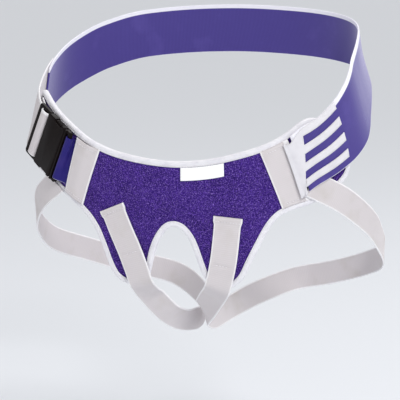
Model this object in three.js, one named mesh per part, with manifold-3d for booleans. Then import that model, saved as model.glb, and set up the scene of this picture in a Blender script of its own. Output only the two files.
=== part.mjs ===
// Hernia belt. A foam front panel with two lobes is held by an elastic belt that rises round the
// hips to a side-release buckle, and by two webbing straps that pass between the legs.
// Each cloth piece is drawn flat, as a cutting pattern, and wrapped on the hip form it is worn on.
// Millimetres, +Z up, the wearer faces -Y, and the origin is on the form's axis.
import * as THREE from "three";
import { mergeVertices } from "three/addons/utils/BufferGeometryUtils.js";
import Module from "manifold-3d";

// Hip form: the hollow that the belt goes round
const hipWidth = 348;
const frontDepth = 124;
const backDepth = 118;
const seatDrop = 225; // from the origin down to the crotch
const formRoundness = 2.35; // 2 is an ellipse, more is squarer
const formArcSteps = 720;
const probe = 0.5; // distance over which the form's slope is read
const weldDistance = 1e-4; // corners closer than this are one

// Each row is a level of the form: shares of seatDrop, of half the hipWidth and of the two depths.
// The form leans to the wearer's right towards the waist, which is a share of half the hipWidth.
const hipSections = [
  { level: -1.16, width: 0.99, front: 0.16, back: 0.5, lean: 0 },
  { level: -1.0, width: 0.99, front: 0.36, back: 0.76, lean: 0 },
  { level: -0.89, width: 0.99, front: 0.66, back: 0.95, lean: 0 },
  { level: -0.8, width: 0.99, front: 0.82, back: 1.0, lean: 0 },
  { level: -0.71, width: 0.99, front: 0.9, back: 1.025, lean: 0 },
  { level: -0.58, width: 0.99, front: 0.96, back: 1.035, lean: 0 },
  { level: -0.44, width: 0.995, front: 0.984, back: 1.025, lean: 0 },
  { level: -0.27, width: 1.0, front: 1.0, back: 1.0, lean: 0 },
  { level: -0.09, width: 0.985, front: 1.016, back: 0.957, lean: 0 },
  { level: 0.09, width: 0.935, front: 1.008, back: 0.915, lean: -0.016 },
  { level: 0.27, width: 0.885, front: 0.992, back: 0.881, lean: -0.036 },
  { level: 0.5, width: 0.86, front: 0.975, back: 0.865, lean: -0.05 },
];

// Cloth
const panelThickness = 3;
const bindingThickness = 1;
const bindingWidth = 5;
const webbingWidth = 25;
const webbingThickness = 1.3;
const elasticWidth = 50;
const elasticThickness = 1.5;
const loopThickness = 1;
const combThickness = 1;
const labelThickness = 1;
const labelWidth = 40;
const labelHeight = 11.5;
const clearance = 0.4;
const chordPlay = 0.25; // more room where a wide flat facet spans the form's curve
const seamPlay = 0.2; // more room beside the binding
const bindingFold = 0.8; // share of the binding's thickness that its folded corners are cut by

// Front panel
const panelTop = -36.8; // height of its upper edge at the front centre
const panelReach = 115; // from the front centre to the outer sides of the two bands
const panelDrop = 119; // from panelTop to the bottom of the lobes
const wornShift = -3.5; // the arch lies a little to the wearer's right
const crotchShift = 0.5;
const panelColumns = 72;
const panelRows = 8;
const upperSamples = 240; // the upper edge is read from this many steps
const outlineFineness = 24; // steps between two rows of the outline
const tightness = 22; // adds columns where the outline turns tighter than this radius
const edgeProbe = 2; // distance over which an edge's slope is read
const endFade = 6; // power with which the rounded ends fade into the middle

// Outline of the panel, as shares of panelReach and of panelDrop below panelTop.
// The worn ones move by wornShift. It runs along the top, round the right end and back below.
const panelOutline = [
  { across: -1.43, drop: 0.505, corner: "topLeft" },
  { across: -1.35, drop: 0.48 },
  { across: -1.21, drop: 0.4 },
  { across: -1.09, drop: 0.335 },
  { across: -0.965, drop: 0.27 },
  { across: -0.852, drop: 0.206 },
  { across: -0.748, drop: 0.154 },
  { across: -0.652, drop: 0.119 },
  { across: -0.513, drop: 0.079 },
  { across: -0.261, drop: 0.035 },
  { across: 0, drop: 0.019 },
  { across: 0.261, drop: 0.043 },
  { across: 0.513, drop: 0.1 },
  { across: 0.652, drop: 0.141 },
  { across: 0.748, drop: 0.177 },
  { across: 0.843, drop: 0.222 },
  { across: 0.93, drop: 0.272 },
  { across: 1.02, drop: 0.324 },
  { across: 1.11, drop: 0.352 },
  { across: 1.2, drop: 0.33 },
  { across: 1.295, drop: 0.24, corner: "topRight" },
  { across: 1.375, drop: 0.125 },
  { across: 1.415, drop: 0.01 },
  { across: 1.405, drop: -0.08, corner: "bottomRight" },
  { across: 1.345, drop: -0.16 },
  { across: 1.19, drop: -0.265 },
  { across: 1.04, drop: -0.325 },
  { across: 0.935, drop: -0.355 },
  { across: 0.83, drop: -0.4 },
  { across: 0.775, drop: -0.45 },
  { across: 0.722, drop: -0.53 },
  { across: 0.657, drop: -0.655 },
  { across: 0.588, drop: -0.79 },
  { across: 0.522, drop: -0.91 },
  { across: 0.42, drop: -0.985 },
  { across: 0.3, drop: -0.98 },
  { across: 0.238, drop: -0.905, worn: true },
  { across: 0.193, drop: -0.8, worn: true },
  { across: 0.153, drop: -0.68, worn: true },
  { across: 0.104, drop: -0.58, worn: true },
  { across: 0.047, drop: -0.521, worn: true },
  { across: 0, drop: -0.508, worn: true },
  { across: -0.047, drop: -0.521, worn: true },
  { across: -0.1, drop: -0.58, worn: true },
  { across: -0.152, drop: -0.68, worn: true },
  { across: -0.19, drop: -0.8, worn: true },
  { across: -0.222, drop: -0.905, worn: true },
  { across: -0.3, drop: -0.985 },
  { across: -0.43, drop: -1.0 },
  { across: -0.553, drop: -0.94 },
  { across: -0.612, drop: -0.84 },
  { across: -0.665, drop: -0.7 },
  { across: -0.728, drop: -0.56 },
  { across: -0.792, drop: -0.475 },
  { across: -0.868, drop: -0.41 },
  { across: -0.955, drop: -0.35 },
  { across: -1.05, drop: -0.295 },
  { across: -1.2, drop: -0.215 },
  { across: -1.38, drop: -0.155 },
  { across: -1.49, drop: -0.115 },
  { across: -1.545, drop: -0.03, corner: "bottomLeft" },
  { across: -1.55, drop: 0.12 },
  { across: -1.52, drop: 0.3 },
  { across: -1.485, drop: 0.44 },
];

// Bands sewn across the wings: shares of panelReach where the inner edge meets the panel's edges.
// The left one's outer edge is drawn in by the buckle's loop, which is sewn under it.
const bandTop = 0.665;
const bandBottom = 0.825;
const leftBandSpans = { top: 0.207, bottom: 0.165 };
const bandColumns = 4;
const bandRows = 8;
const labelStart = 0.03; // share of panelReach from the front centre to the label
const labelColumns = 6;

// Leg straps over the lobes: shares as in the outline, and layer 0 on the panel to 1 over the binding
const strapFronts = {
  left: [
    { across: -0.557, drop: -0.371, layer: 0 },
    { across: -0.478, drop: -0.556, layer: 0.3 },
    { across: -0.409, drop: -0.7, layer: 1 },
    { across: -0.357, drop: -0.842, layer: 1.2 },
    { across: -0.318, drop: -0.965, layer: 1.5 },
  ],
  right: [
    { across: 0.409, drop: -0.413, layer: 0 },
    { across: 0.391, drop: -0.6, layer: 0.3 },
    { across: 0.372, drop: -0.75, layer: 1 },
    { across: 0.345, drop: -0.87, layer: 1.2 },
    { across: 0.31, drop: -0.98, layer: 1.5 },
  ],
};

// Leg straps round the inner thighs: shares of half the hipWidth, of the depth in front
// (negative) or behind, and of seatDrop. They face inwards, forwards and down, as a direction.
const strapTurns = {
  left: [
    { side: 0.18, depth: -0.83, level: -0.755, faces: [0.15, -0.95, -0.3] },
    { side: 0.115, depth: -0.71, level: -0.835, faces: [0.3, -0.85, -0.45] },
    { side: 0.07, depth: -0.56, level: -0.88, faces: [0.62, -0.65, -0.42] },
    { side: 0.045, depth: -0.36, level: -0.905, faces: [0.95, -0.2, -0.25] },
  ],
  right: [
    { side: 0.146, depth: -0.806, level: -0.754, faces: [0.12, -0.95, -0.3] },
    { side: 0.092, depth: -0.677, level: -0.813, faces: [0.4, -0.85, -0.35] },
    { side: 0.052, depth: -0.484, level: -0.862, faces: [0.85, -0.45, -0.25] },
    { side: 0.045, depth: -0.28, level: -0.9, faces: [1, -0.1, -0.2] },
  ],
};
const strapBetween = [
  { side: 0.045, depth: -0.05, level: -0.93, faces: [1, 0, -0.15] },
  { side: 0.075, depth: 0.3, level: -0.93, faces: [0.9, 0.35, -0.2] },
  { side: 0.18, depth: 0.66, level: -0.9, faces: [0.55, 0.8, -0.25] },
];

// Leg straps behind the thigh, on the form: shares of half the girth and of seatDrop
const strapBehind = [
  { around: 0.86, level: -0.85, lift: 2 },
  { around: 0.77, level: -0.8, lift: 2 },
  { around: 0.66, level: -0.72, lift: 2 },
  { around: 0.55, level: -0.63, lift: 2 },
];

// Side ends of the leg straps, from the back to the end under the belt or the buckle
const strapSides = {
  left: [
    { across: -1.93, drop: -0.7, layer: 0.1 },
    { across: -1.69, drop: -0.57, layer: 0.25 },
    { across: -1.35, drop: -0.365, layer: 0.9 },
    { across: -1.07, drop: -0.195, layer: 1.1 },
  ],
  right: [
    { across: 1.93, drop: -0.675, layer: 0.1 },
    { across: 1.69, drop: -0.525, layer: 0.4 },
    { across: 1.32, drop: -0.292, layer: 1 },
    { across: 1.05, drop: -0.15, layer: 1.1 },
  ],
};
const strapSpacing = 13;
const leftEndCut = 12; // the left strap's side end is cut back along the buckle

// Belt centre line: shares of panelReach near the panel, then of half the girth from the front centre
const beltNear = [
  { across: 0.9, drop: -0.055, layer: 0.9 },
  { across: 0.96, drop: -0.01, layer: 1.3 },
  { across: 1.04, drop: 0.045, layer: 1.5 },
  { across: 1.22, drop: 0.145, layer: 1.5 },
  { across: 1.4, drop: 0.26, layer: 1.2 },
  { across: 1.56, drop: 0.38, layer: 0.6 },
];
const beltBehind = [
  { around: 0.43, level: 0.13, lift: 3 },
  { around: 0.49, level: 0.2, lift: 1.4 },
  { around: 0.56, level: 0.255, lift: 1 },
  { around: 0.66, level: 0.3, lift: 1 },
  { around: 0.8, level: 0.33, lift: 1 },
  { around: 1.0, level: 0.342, lift: 1 },
  { around: 1.2, level: 0.315, lift: 1 },
  { around: 1.3, level: 0.265, lift: 1 },
  { around: 1.38, level: 0.2, lift: 1 },
  { around: 1.45, level: 0.135, lift: 1 },
  { around: 1.52, level: 0.062, lift: 1.2 },
];
const beltColumns = 58;
const beltSkewShare = 0.07; // share of the belt over which its slanted end turns square
const beltEndPlay = 4 * clearance; // between the comb's fold and the belt's end

// Comb of plain bars on the belt's end, with a spine that covers the end
const combStart = 0.842; // share of panelReach at the top of the spine
const combSlant = 0.13; // how far the spine's edge leans out at the bottom
const combSpine = 1.0;
const combEnd = 1.315;
const combEndSlant = 0.055;
const combBars = 4;
const combFold = 5.5; // the spine's edge drops past the belt's end over this distance

// Buckle, in its own frame: x towards the front, y up across the belt, z outwards
const buckleAcross = -1.15; // share of panelReach
const buckleDrop = 0.082; // share of panelDrop
const buckleSlope = 29; // degrees
const buckleThickness = 7;
const buckleRail = 2.8;
const slotPlay = 0.9; // the slots are this much longer than the elastic is wide
const barThickness = 3;
const outerBar = 3;
const strapSlot = 3.6;
const middleBar = 7.6;
const housingLength = 28.3;
const housingFront = 14.2;
const housingWall = 1.6;
const tongueSlot = 3;
const tongueBar = 3.2;
const tongueShoulder = 2.4;
const tongueDepth = 17; // how far the tongue reaches into the housing
const gripDepth = 2.6; // depth of the finger recesses in the housing's sides
const gripLength = 13;
const gripRound = 0.9; // share of gripDepth that its corners are rounded by
const gripSetBack = 4; // from the housing's front
const cornerRadius = 3;
const slotRadius = 0.6;
const cavityRadius = 0.4;
const bevel = 0.8;
const cutOver = 1; // cuts run this far past the plastic
const joinOver = 2; // joined blocks run this far into each other
const tongueArm = 7; // width of the tongue's two arms
const tongueGuide = 9; // width of the guide between them
const guideSetBack = 3;
const tongueRoot = 5; // how far the solid root of the tongue reaches into the housing
const tongueRound = 1;
const shoulderInset = 0.6; // the tongue's shoulder is thinner than the housing by this on each face

// Loop of elastic between the buckle and the left band. Its sewn end narrows.
const loopWidth = 47;
const loopSeam = 7;
const loopEnds = {
  high: { across: -0.825, drop: 0.1 },
  low: { across: -0.938, drop: -0.255 },
};
const tailLength = 12; // what hangs on past the buckle's outer bar, behind the webbing
const turnSteps = 5;
const webbingSpacing = 9;

const wasm = await Module();
wasm.setup();

const purple = 0x46299a;
const deepPurple = 0x35227f;
const offWhite = 0xe4e2e0;
const white = 0xf4f4f4;
const black = 0x141414;
const group = new THREE.Group();

// Small helpers
const mix = (a, b, share) => a + (b - a) * share;
const clamp = (value, low, high) => Math.min(high, Math.max(low, value));

// A smooth value at a place in a table of rows that rise in one column
function smoothAt(rows, column, value, at) {
  const last = rows.length - 1;
  let i = 0;
  while (i < last - 1 && rows[i + 1][column] < at) i += 1;
  const slope = (k) => {
    const before = rows[Math.max(k - 1, 0)];
    const after = rows[Math.min(k + 1, last)];
    return (after[value] - before[value]) / (after[column] - before[column]);
  };
  const low = rows[i];
  const high = rows[i + 1];
  const span = high[column] - low[column];
  const t = clamp((at - low[column]) / span, 0, 1);
  const rising = t * t * (3 - 2 * t);
  const lowPull = t * (1 - t) * (1 - t) * span * slope(i);
  const highPull = -t * t * (1 - t) * span * slope(i + 1);
  return mix(low[value], high[value], rising) + lowPull + highPull;
}

// Hip form
function hipSection(height) {
  const level = height / seatDrop;
  return {
    halfWidth: (hipWidth / 2) * smoothAt(hipSections, "level", "width", level),
    front: frontDepth * smoothAt(hipSections, "level", "front", level),
    back: backDepth * smoothAt(hipSections, "level", "back", level),
    lean: (hipWidth / 2) * smoothAt(hipSections, "level", "lean", level),
  };
}

function pointOnSection(section, angle) {
  const round = (v) => Math.sign(v) * Math.abs(v) ** (2 / formRoundness);
  const depth = Math.cos(angle) > 0 ? section.front : section.back;
  const x = section.halfWidth * round(Math.sin(angle)) + section.lean;
  return [x, -depth * round(Math.cos(angle))];
}

// Distances round the form at the panel's upper edge, which turn a flat pattern into angles
const formArcs = [0];
const measuredSection = hipSection(panelTop);
for (let step = 1; step <= formArcSteps; step += 1) {
  const [x0, y0] = pointOnSection(measuredSection, (Math.PI * (step - 1)) / formArcSteps);
  const [x1, y1] = pointOnSection(measuredSection, (Math.PI * step) / formArcSteps);
  formArcs.push(formArcs[step - 1] + Math.hypot(x1 - x0, y1 - y0));
}
const halfGirth = formArcs[formArcSteps];

function angleAt(across) {
  const turned = across - 2 * halfGirth * Math.round(across / (2 * halfGirth));
  const distance = Math.abs(turned);
  let low = 0;
  let high = formArcSteps;
  while (high - low > 1) {
    const middle = (low + high) >> 1;
    if (formArcs[middle] > distance) high = middle;
    else low = middle;
  }
  const share = (distance - formArcs[low]) / (formArcs[high] - formArcs[low]);
  return (Math.sign(turned) * Math.PI * (low + share)) / formArcSteps;
}

function onForm(across, height) {
  const [x, y] = pointOnSection(hipSection(height), angleAt(across));
  return new THREE.Vector3(x, y, height);
}

function formNormal(across, height) {
  const along = onForm(across + probe, height).sub(onForm(across - probe, height));
  const upward = onForm(across, height + probe).sub(onForm(across, height - probe));
  return along.cross(upward).normalize();
}

// A point of a flat pattern, wrapped on the form and lifted off it
function wrap(across, height, lift) {
  return onForm(across, height).addScaledVector(formNormal(across, height), lift);
}

// Layers of cloth, as lifts off the form
const panelLift = bindingThickness + clearance + chordPlay;
const firstLayer = panelLift + panelThickness + clearance;
const secondLayer = firstLayer + Math.max(bindingThickness, webbingThickness) + clearance;
const thirdLayer = secondLayer + webbingThickness + clearance;
const heightAt = (drop) => panelTop + panelDrop * drop;

// Closed meshes
function meshOf(points, faces) {
  let volume = 0;
  for (const [a, b, c] of faces) {
    volume += points[a].dot(points[b].clone().cross(points[c]));
  }
  const outward = volume > 0 ? faces : faces.map(([a, b, c]) => [a, c, b]);
  const geometry = new THREE.BufferGeometry().setFromPoints(points);
  geometry.setIndex(outward.flat());
  geometry.computeVertexNormals();
  return geometry;
}

// A sheet of cells with two faces. pointAt gives a point for a column, a row and a face
// (0 or 1), and filled says which cells are cloth.
function sheet(columns, rows, pointAt, filled = () => true) {
  const points = [];
  const at = (i, j, face) => (face * (columns + 1) + i) * (rows + 1) + j;
  for (const face of [0, 1]) {
    for (let i = 0; i <= columns; i += 1) {
      for (let j = 0; j <= rows; j += 1) points.push(pointAt(i, j, face));
    }
  }
  const isCloth = (i, j) => i >= 0 && j >= 0 && i < columns && j < rows && filled(i, j);
  const faces = [];
  const quad = (a, b, c, d) => faces.push([a, b, c], [a, c, d]);
  for (let i = 0; i < columns; i += 1) {
    for (let j = 0; j < rows; j += 1) {
      if (!isCloth(i, j)) continue;
      quad(at(i, j, 1), at(i + 1, j, 1), at(i + 1, j + 1, 1), at(i, j + 1, 1));
      quad(at(i, j, 0), at(i, j + 1, 0), at(i + 1, j + 1, 0), at(i + 1, j, 0));
      const wall = (i0, j0, i1, j1) =>
        quad(at(i0, j0, 0), at(i1, j1, 0), at(i1, j1, 1), at(i0, j0, 1));
      if (!isCloth(i, j - 1)) wall(i, j, i + 1, j);
      if (!isCloth(i + 1, j)) wall(i + 1, j, i + 1, j + 1);
      if (!isCloth(i, j + 1)) wall(i + 1, j + 1, i, j + 1);
      if (!isCloth(i - 1, j)) wall(i, j + 1, i, j);
    }
  }
  return withoutLoosePoints(points, faces);
}

function withoutLoosePoints(points, faces) {
  const kept = new Map();
  for (const corner of faces.flat()) {
    if (!kept.has(corner)) kept.set(corner, kept.size);
  }
  const used = [...kept.keys()].map((corner) => points[corner]);
  return meshOf(used, faces.map((face) => face.map((corner) => kept.get(corner))));
}

// A strap of one width: stations hold a point, the direction the strap faces and its travel.
// Its last end can be cut back at one corner.
function ribbon(stations, width, thickness, endCut = 0) {
  const last = stations.length - 1;
  return sheet(last, 1, (i, j, face) => {
    const { point, faces, travel } = stations[i];
    const sideways = travel.clone().cross(faces).normalize();
    return point
      .clone()
      .addScaledVector(sideways, width * (j - 0.5))
      .addScaledVector(travel, i === last ? -endCut * (1 - j) : 0)
      .addScaledVector(faces, thickness * face);
  });
}

// How many steps each stretch between two knots is divided in
function divisions(knots, spacing) {
  return knots.slice(1).map((knot, k) => {
    return Math.max(1, Math.round(knots[k].point.distanceTo(knot.point) / spacing));
  });
}

// Stations on a smooth path through knots. Every knot is one, and long stretches are divided.
function stationsThrough(knots, steps) {
  const path = new THREE.CatmullRomCurve3(knots.map((knot) => knot.point), false, "centripetal");
  const facing = new THREE.CatmullRomCurve3(knots.map((knot) => knot.faces), false, "centripetal");
  const places = steps.flatMap((count, k) => {
    return Array.from({ length: count }, (_, step) => (k + step / count) / steps.length);
  });
  places.push(1);
  return places.map((place) => {
    const travel = path.getTangent(place);
    const faces = facing.getPoint(place);
    faces.addScaledVector(travel, -faces.dot(travel)).normalize();
    return { point: path.getPoint(place), faces, travel };
  });
}

// A strip that follows several lines of knots, from its lower to its upper edge
function strip(lines, spacing, thickness) {
  const steps = divisions(lines[1], spacing);
  const edges = lines.map((knots) => stationsThrough(knots, steps));
  return sheet(edges[0].length - 1, edges.length - 1, (i, j, face) => {
    const { point, faces } = edges[j][i];
    return point.clone().addScaledVector(faces, thickness * face);
  });
}

// Solids that are cut and joined
function solidFrom(geometry) {
  geometry.deleteAttribute("normal");
  geometry.deleteAttribute("uv");
  const merged = mergeVertices(geometry, weldDistance);
  return new wasm.Manifold(
    new wasm.Mesh({
      numProp: 3,
      vertProperties: new Float32Array(merged.attributes.position.array),
      triVerts: new Uint32Array(merged.index.array),
    }),
  );
}

function geometryFrom(solid) {
  const { numProp, vertProperties, triVerts } = solid.getMesh();
  const points = [];
  for (let i = 0; i < vertProperties.length; i += numProp) {
    points.push(new THREE.Vector3().fromArray(vertProperties, i));
  }
  const geometry = new THREE.BufferGeometry().setFromPoints(points);
  geometry.setIndex([...triVerts]);
  geometry.computeVertexNormals();
  return geometry;
}

function addPiece(name, geometry, color, roughness, parent = group, metalness = 0) {
  const material = new THREE.MeshStandardMaterial({ color, roughness, metalness });
  const piece = new THREE.Mesh(geometry, material);
  piece.name = name;
  parent.add(piece);
}

// Outline of the panel as a closed flat curve, moved in from the binding's outer edge
const finishedPoints = panelOutline.map(({ across, drop, worn }) => {
  const shift = worn ? wornShift : 0;
  return new THREE.Vector3(across * panelReach + shift, heightAt(drop), 0);
});
const outlinePoints = finishedPoints.map((point, i) => {
  const before = finishedPoints[(i + finishedPoints.length - 1) % finishedPoints.length];
  const after = finishedPoints[(i + 1) % finishedPoints.length];
  const along = after.clone().sub(before).normalize();
  const inset = bindingThickness + clearance;
  return new THREE.Vector3(point.x + along.y * inset, point.y - along.x * inset, 0);
});
const outlineCurve = new THREE.CatmullRomCurve3(outlinePoints, true, "centripetal");
const cornerIndex = (name) => panelOutline.findIndex((row) => row.corner === name);

// Points on a stretch of the outline, closer together where it turns tightly
function outlineStretch(fromCorner, toCorner, count) {
  const total = panelOutline.length;
  const start = cornerIndex(fromCorner);
  const end = cornerIndex(toCorner) || total;
  const fine = outlineFineness * (end - start);
  const points = [];
  for (let i = 0; i <= fine; i += 1) {
    points.push(outlineCurve.getPoint(((start + ((end - start) * i) / fine) / total) % 1));
  }
  const weights = [0];
  for (let i = 1; i <= fine; i += 1) {
    const a = points[Math.max(i - 2, 0)];
    const b = points[i - 1];
    const c = points[i];
    const d = points[Math.min(i + 1, fine)];
    const length = b.distanceTo(c);
    const turn = b.clone().sub(a).angleTo(d.clone().sub(c)) || 0;
    weights.push(weights[i - 1] + length + (tightness * turn) / 2);
  }
  const chosen = [];
  let at = 0;
  for (let k = 0; k <= count; k += 1) {
    const goal = (weights[fine] * k) / count;
    while (at < fine - 1 && weights[at + 1] < goal) at += 1;
    const share = (goal - weights[at]) / (weights[at + 1] - weights[at]);
    chosen.push(points[at].clone().lerp(points[at + 1], clamp(share, 0, 1)));
  }
  return chosen;
}

// Height of the panel's upper or lower edge at a distance across
function edgeHeight(edge, across) {
  let i = 1;
  while (i < edge.length - 1 && edge[i].x < across) i += 1;
  const [before, after] = [edge[i - 1], edge[i]];
  const share = (across - before.x) / (after.x - before.x);
  return mix(before.y, after.y, clamp(share, 0, 1));
}

// The same, moved in by a margin that is measured square to the edge
function insideEdge(edge, across, margin) {
  const ahead = edgeHeight(edge, across + edgeProbe);
  const behind = edgeHeight(edge, across - edgeProbe);
  return edgeHeight(edge, across) + margin * Math.hypot(1, (ahead - behind) / (2 * edgeProbe));
}

// The two long edges run from left to right, and each upper point stands over a lower one
const lowerEdge = outlineStretch("bottomRight", "bottomLeft", panelColumns).reverse();
const upperLine = outlineStretch("topLeft", "topRight", upperSamples);
const upperEdge = lowerEdge.map(({ x }) => {
  const share = (x - lowerEdge[0].x) / (lowerEdge[panelColumns].x - lowerEdge[0].x);
  const across = mix(upperLine[0].x, upperLine[upperSamples].x, share);
  return new THREE.Vector3(across, edgeHeight(upperLine, across), 0);
});
const rightEnd = outlineStretch("topRight", "bottomRight", panelRows).reverse();
const leftEnd = outlineStretch("bottomLeft", "topLeft", panelRows);

// Front panel: a net between the two long edges, which keeps the two rounded ends
function panelFlat(i, j) {
  const u = i / panelColumns;
  const v = j / panelRows;
  const flat = lowerEdge[i].clone().lerp(upperEdge[i], v);
  const bulge = (end, corners, share) => {
    const straight = corners[0].clone().lerp(corners[1], v);
    flat.addScaledVector(end[j].clone().sub(straight), share ** endFade);
  };
  bulge(leftEnd, [lowerEdge[0], upperEdge[0]], 1 - u);
  bulge(rightEnd, [lowerEdge[panelColumns], upperEdge[panelColumns]], u);
  return flat;
}

function addPanel() {
  const panel = sheet(panelColumns, panelRows, (i, j, face) => {
    const flat = panelFlat(i, j);
    return wrap(flat.x, flat.y, panelLift + face * panelThickness);
  });
  addPiece("front_panel", panel, purple, 0.9);
}

// Binding: a folded tape round the whole outline, as a channel that the panel's edge sits in
function addBinding() {
  const rim = [
    ...upperEdge.slice(0, -1),
    ...[...rightEnd].reverse().slice(0, -1),
    ...[...lowerEdge].reverse().slice(0, -1),
    ...leftEnd.slice(0, -1),
  ];
  const back = bindingThickness;
  const front = panelLift + panelThickness + clearance;
  const fold = bindingThickness * bindingFold;
  const section = [
    [bindingWidth, front + bindingThickness],
    [0, front + bindingThickness],
    [-clearance - bindingThickness, front + bindingThickness - fold],
    [-clearance - bindingThickness, back - bindingThickness + fold],
    [0, back - bindingThickness],
    [bindingWidth, back - bindingThickness],
    [bindingWidth, back],
    [-clearance, back],
    [-clearance, front],
    [bindingWidth, front],
  ];
  const points = [];
  rim.forEach((flat, i) => {
    const before = rim[(i + rim.length - 1) % rim.length];
    const after = rim[(i + 1) % rim.length];
    const along = after.clone().sub(before).normalize();
    for (const [inward, lift] of section) {
      points.push(wrap(flat.x + along.y * inward, flat.y - along.x * inward, lift));
    }
  });
  const faces = [];
  const sides = section.length;
  for (let i = 0; i < rim.length; i += 1) {
    for (let k = 0; k < sides; k += 1) {
      const a = i * sides + k;
      const b = i * sides + ((k + 1) % sides);
      const c = ((i + 1) % rim.length) * sides + ((k + 1) % sides);
      const d = ((i + 1) % rim.length) * sides + k;
      faces.push([a, b, c], [a, c, d]);
    }
  }
  addPiece("edge_binding", meshOf(points, faces), white, 0.8);
}

// Webbing bands across the two wings. Their ends stop at the binding.
const bandTravel = (bandBottom - bandTop) * panelReach;
const bandHigh = edgeHeight(upperEdge, bandTop * panelReach);
const bandRise = bandHigh - edgeHeight(lowerEdge, bandBottom * panelReach);
const bandSpan = (webbingWidth * Math.hypot(bandTravel, bandRise)) / bandRise / panelReach;
const edgeMargin = bindingWidth + clearance + seamPlay;

function bandFlat(sign, i, j) {
  const spans = sign < 0 ? leftBandSpans : { top: bandSpan, bottom: bandSpan };
  const top = sign * panelReach * (bandTop + (spans.top * i) / bandColumns);
  const bottom = sign * panelReach * (bandBottom + (spans.bottom * i) / bandColumns);
  const high = insideEdge(upperEdge, top, -edgeMargin);
  const low = insideEdge(lowerEdge, bottom, edgeMargin);
  return { across: mix(bottom, top, j / bandRows), height: mix(low, high, j / bandRows) };
}

// The left band rises over the two sewn plies of the buckle's loop
const loopPliesTop = 2 * (loopThickness + clearance);
const bandRises = [0, 0.45, 1, 1, 1]; // share of that rise at each of its columns

function addBands() {
  for (const [name, sign] of [["left_band", -1], ["right_band", 1]]) {
    const band = sheet(bandColumns, bandRows, (i, j, face) => {
      const { across, height } = bandFlat(sign, i, j);
      const rise = sign < 0 ? loopPliesTop * bandRises[i] : 0;
      return wrap(across, height, firstLayer + rise + face * webbingThickness);
    });
    addPiece(name, band, offWhite, 0.85);
  }
}

// Plain label that hangs from under the binding
function addLabel() {
  const start = labelStart * panelReach;
  const label = sheet(labelColumns, 1, (i, j, face) => {
    const across = start + (labelWidth * i) / labelColumns;
    const top = insideEdge(upperEdge, across, -edgeMargin);
    return wrap(across, top - labelHeight * (1 - j), firstLayer + face * labelThickness);
  });
  addPiece("blank_label", label, white, 0.7);
}

// Leg straps
function formKnot(across, height, lift) {
  return { point: wrap(across, height, lift), faces: formNormal(across, height) };
}

function legStrapKnots(name, sign) {
  const layerLift = (layer) => mix(firstLayer, secondLayer, layer);
  const front = strapFronts[name].map(({ across, drop, layer }) =>
    formKnot(across * panelReach, heightAt(drop), layerLift(layer)),
  );
  const under = [...strapTurns[name], ...strapBetween].map(({ side, depth, level, faces }) => ({
    point: new THREE.Vector3(
      (sign * side * hipWidth) / 2 + crotchShift,
      depth * (depth < 0 ? frontDepth : backDepth),
      level * seatDrop,
    ),
    faces: new THREE.Vector3(-sign * faces[0], faces[1], faces[2]).normalize(),
  }));
  const behind = strapBehind.map(({ around, level, lift }) =>
    formKnot(sign * around * halfGirth, level * seatDrop, lift),
  );
  const side = strapSides[name].map(({ across, drop, layer }) =>
    formKnot(across * panelReach, heightAt(drop), mix(bindingThickness, secondLayer, layer)),
  );
  return [...front, ...under, ...behind, ...side];
}

function addLegStraps() {
  for (const [name, sign] of [["left", -1], ["right", 1]]) {
    const knots = legStrapKnots(name, sign);
    const stations = stationsThrough(knots, divisions(knots, strapSpacing));
    const endCut = sign < 0 ? leftEndCut : 0;
    const strap = ribbon(stations, webbingWidth, webbingThickness, endCut);
    addPiece(`${name}_leg_strap`, strap, offWhite, 0.85);
  }
}

// Belt: its centre line as rows of distance round the form, height and lift
const beltRows = [
  ...beltNear.map(({ across, drop, layer }) => ({
    across: across * panelReach,
    height: heightAt(drop),
    lift: mix(secondLayer, thirdLayer, layer),
  })),
  ...beltBehind.map(({ around, level, lift }) => ({
    across: around * halfGirth,
    height: level * seatDrop,
    lift,
  })),
];
const beltEnd = beltRows[beltRows.length - 1].across;

// A place on the belt: share 0 is its lower edge and share 1 its upper one
function beltFlat(across, share) {
  const height = smoothAt(beltRows, "across", "height", across);
  const ahead = smoothAt(beltRows, "across", "height", across + probe);
  const steepness = Math.hypot(1, (ahead - height) / probe);
  return {
    height: height + elasticWidth * steepness * (share - 0.5),
    lift: smoothAt(beltRows, "across", "lift", across),
  };
}

const spineEdge = (share) => (combStart + combSlant * (1 - share)) * panelReach;

function addBelt() {
  const rows = 2;
  const straightStart = spineEdge(0.5) + combFold + beltEndPlay;
  const belt = sheet(beltColumns, rows, (i, j, face) => {
    const share = j / rows;
    const along = i / beltColumns;
    const skew = spineEdge(share) + combFold + beltEndPlay - straightStart;
    const fade = clamp(1 - along / beltSkewShare, 0, 1);
    const across = mix(straightStart, beltEnd, along) + skew * fade;
    const { height, lift } = beltFlat(across, share);
    return wrap(across, height, lift + face * elasticThickness);
  });
  addPiece("back_belt", belt, purple, 0.7);
}

// Comb of plain bars, whose spine folds down past the belt's end
function addComb() {
  const spineColumns = 3;
  const barColumns = 6;
  const rows = 2 * combBars;
  const comb = sheet(
    spineColumns + barColumns,
    rows,
    (i, j, face) => {
      const share = j / rows;
      const edge = spineEdge(share);
      const spine = combSpine * panelReach;
      const end = (combEnd + combEndSlant * (1 - share)) * panelReach;
      const steps = [edge, edge + combFold / 2, edge + combFold, spine];
      const across = i <= spineColumns ? steps[i] : mix(spine, end, (i - spineColumns) / barColumns);
      const { height, lift } = beltFlat(across, share);
      const overBelt = lift + elasticThickness + clearance;
      const dropped = mix(lift, overBelt, clamp(i - 1, 0, 1));
      return wrap(across, height, dropped + face * combThickness);
    },
    (i, j) => i < spineColumns || j % 2 === 1,
  );
  addPiece("belt_end_comb", comb, white, 0.8);
}

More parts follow.
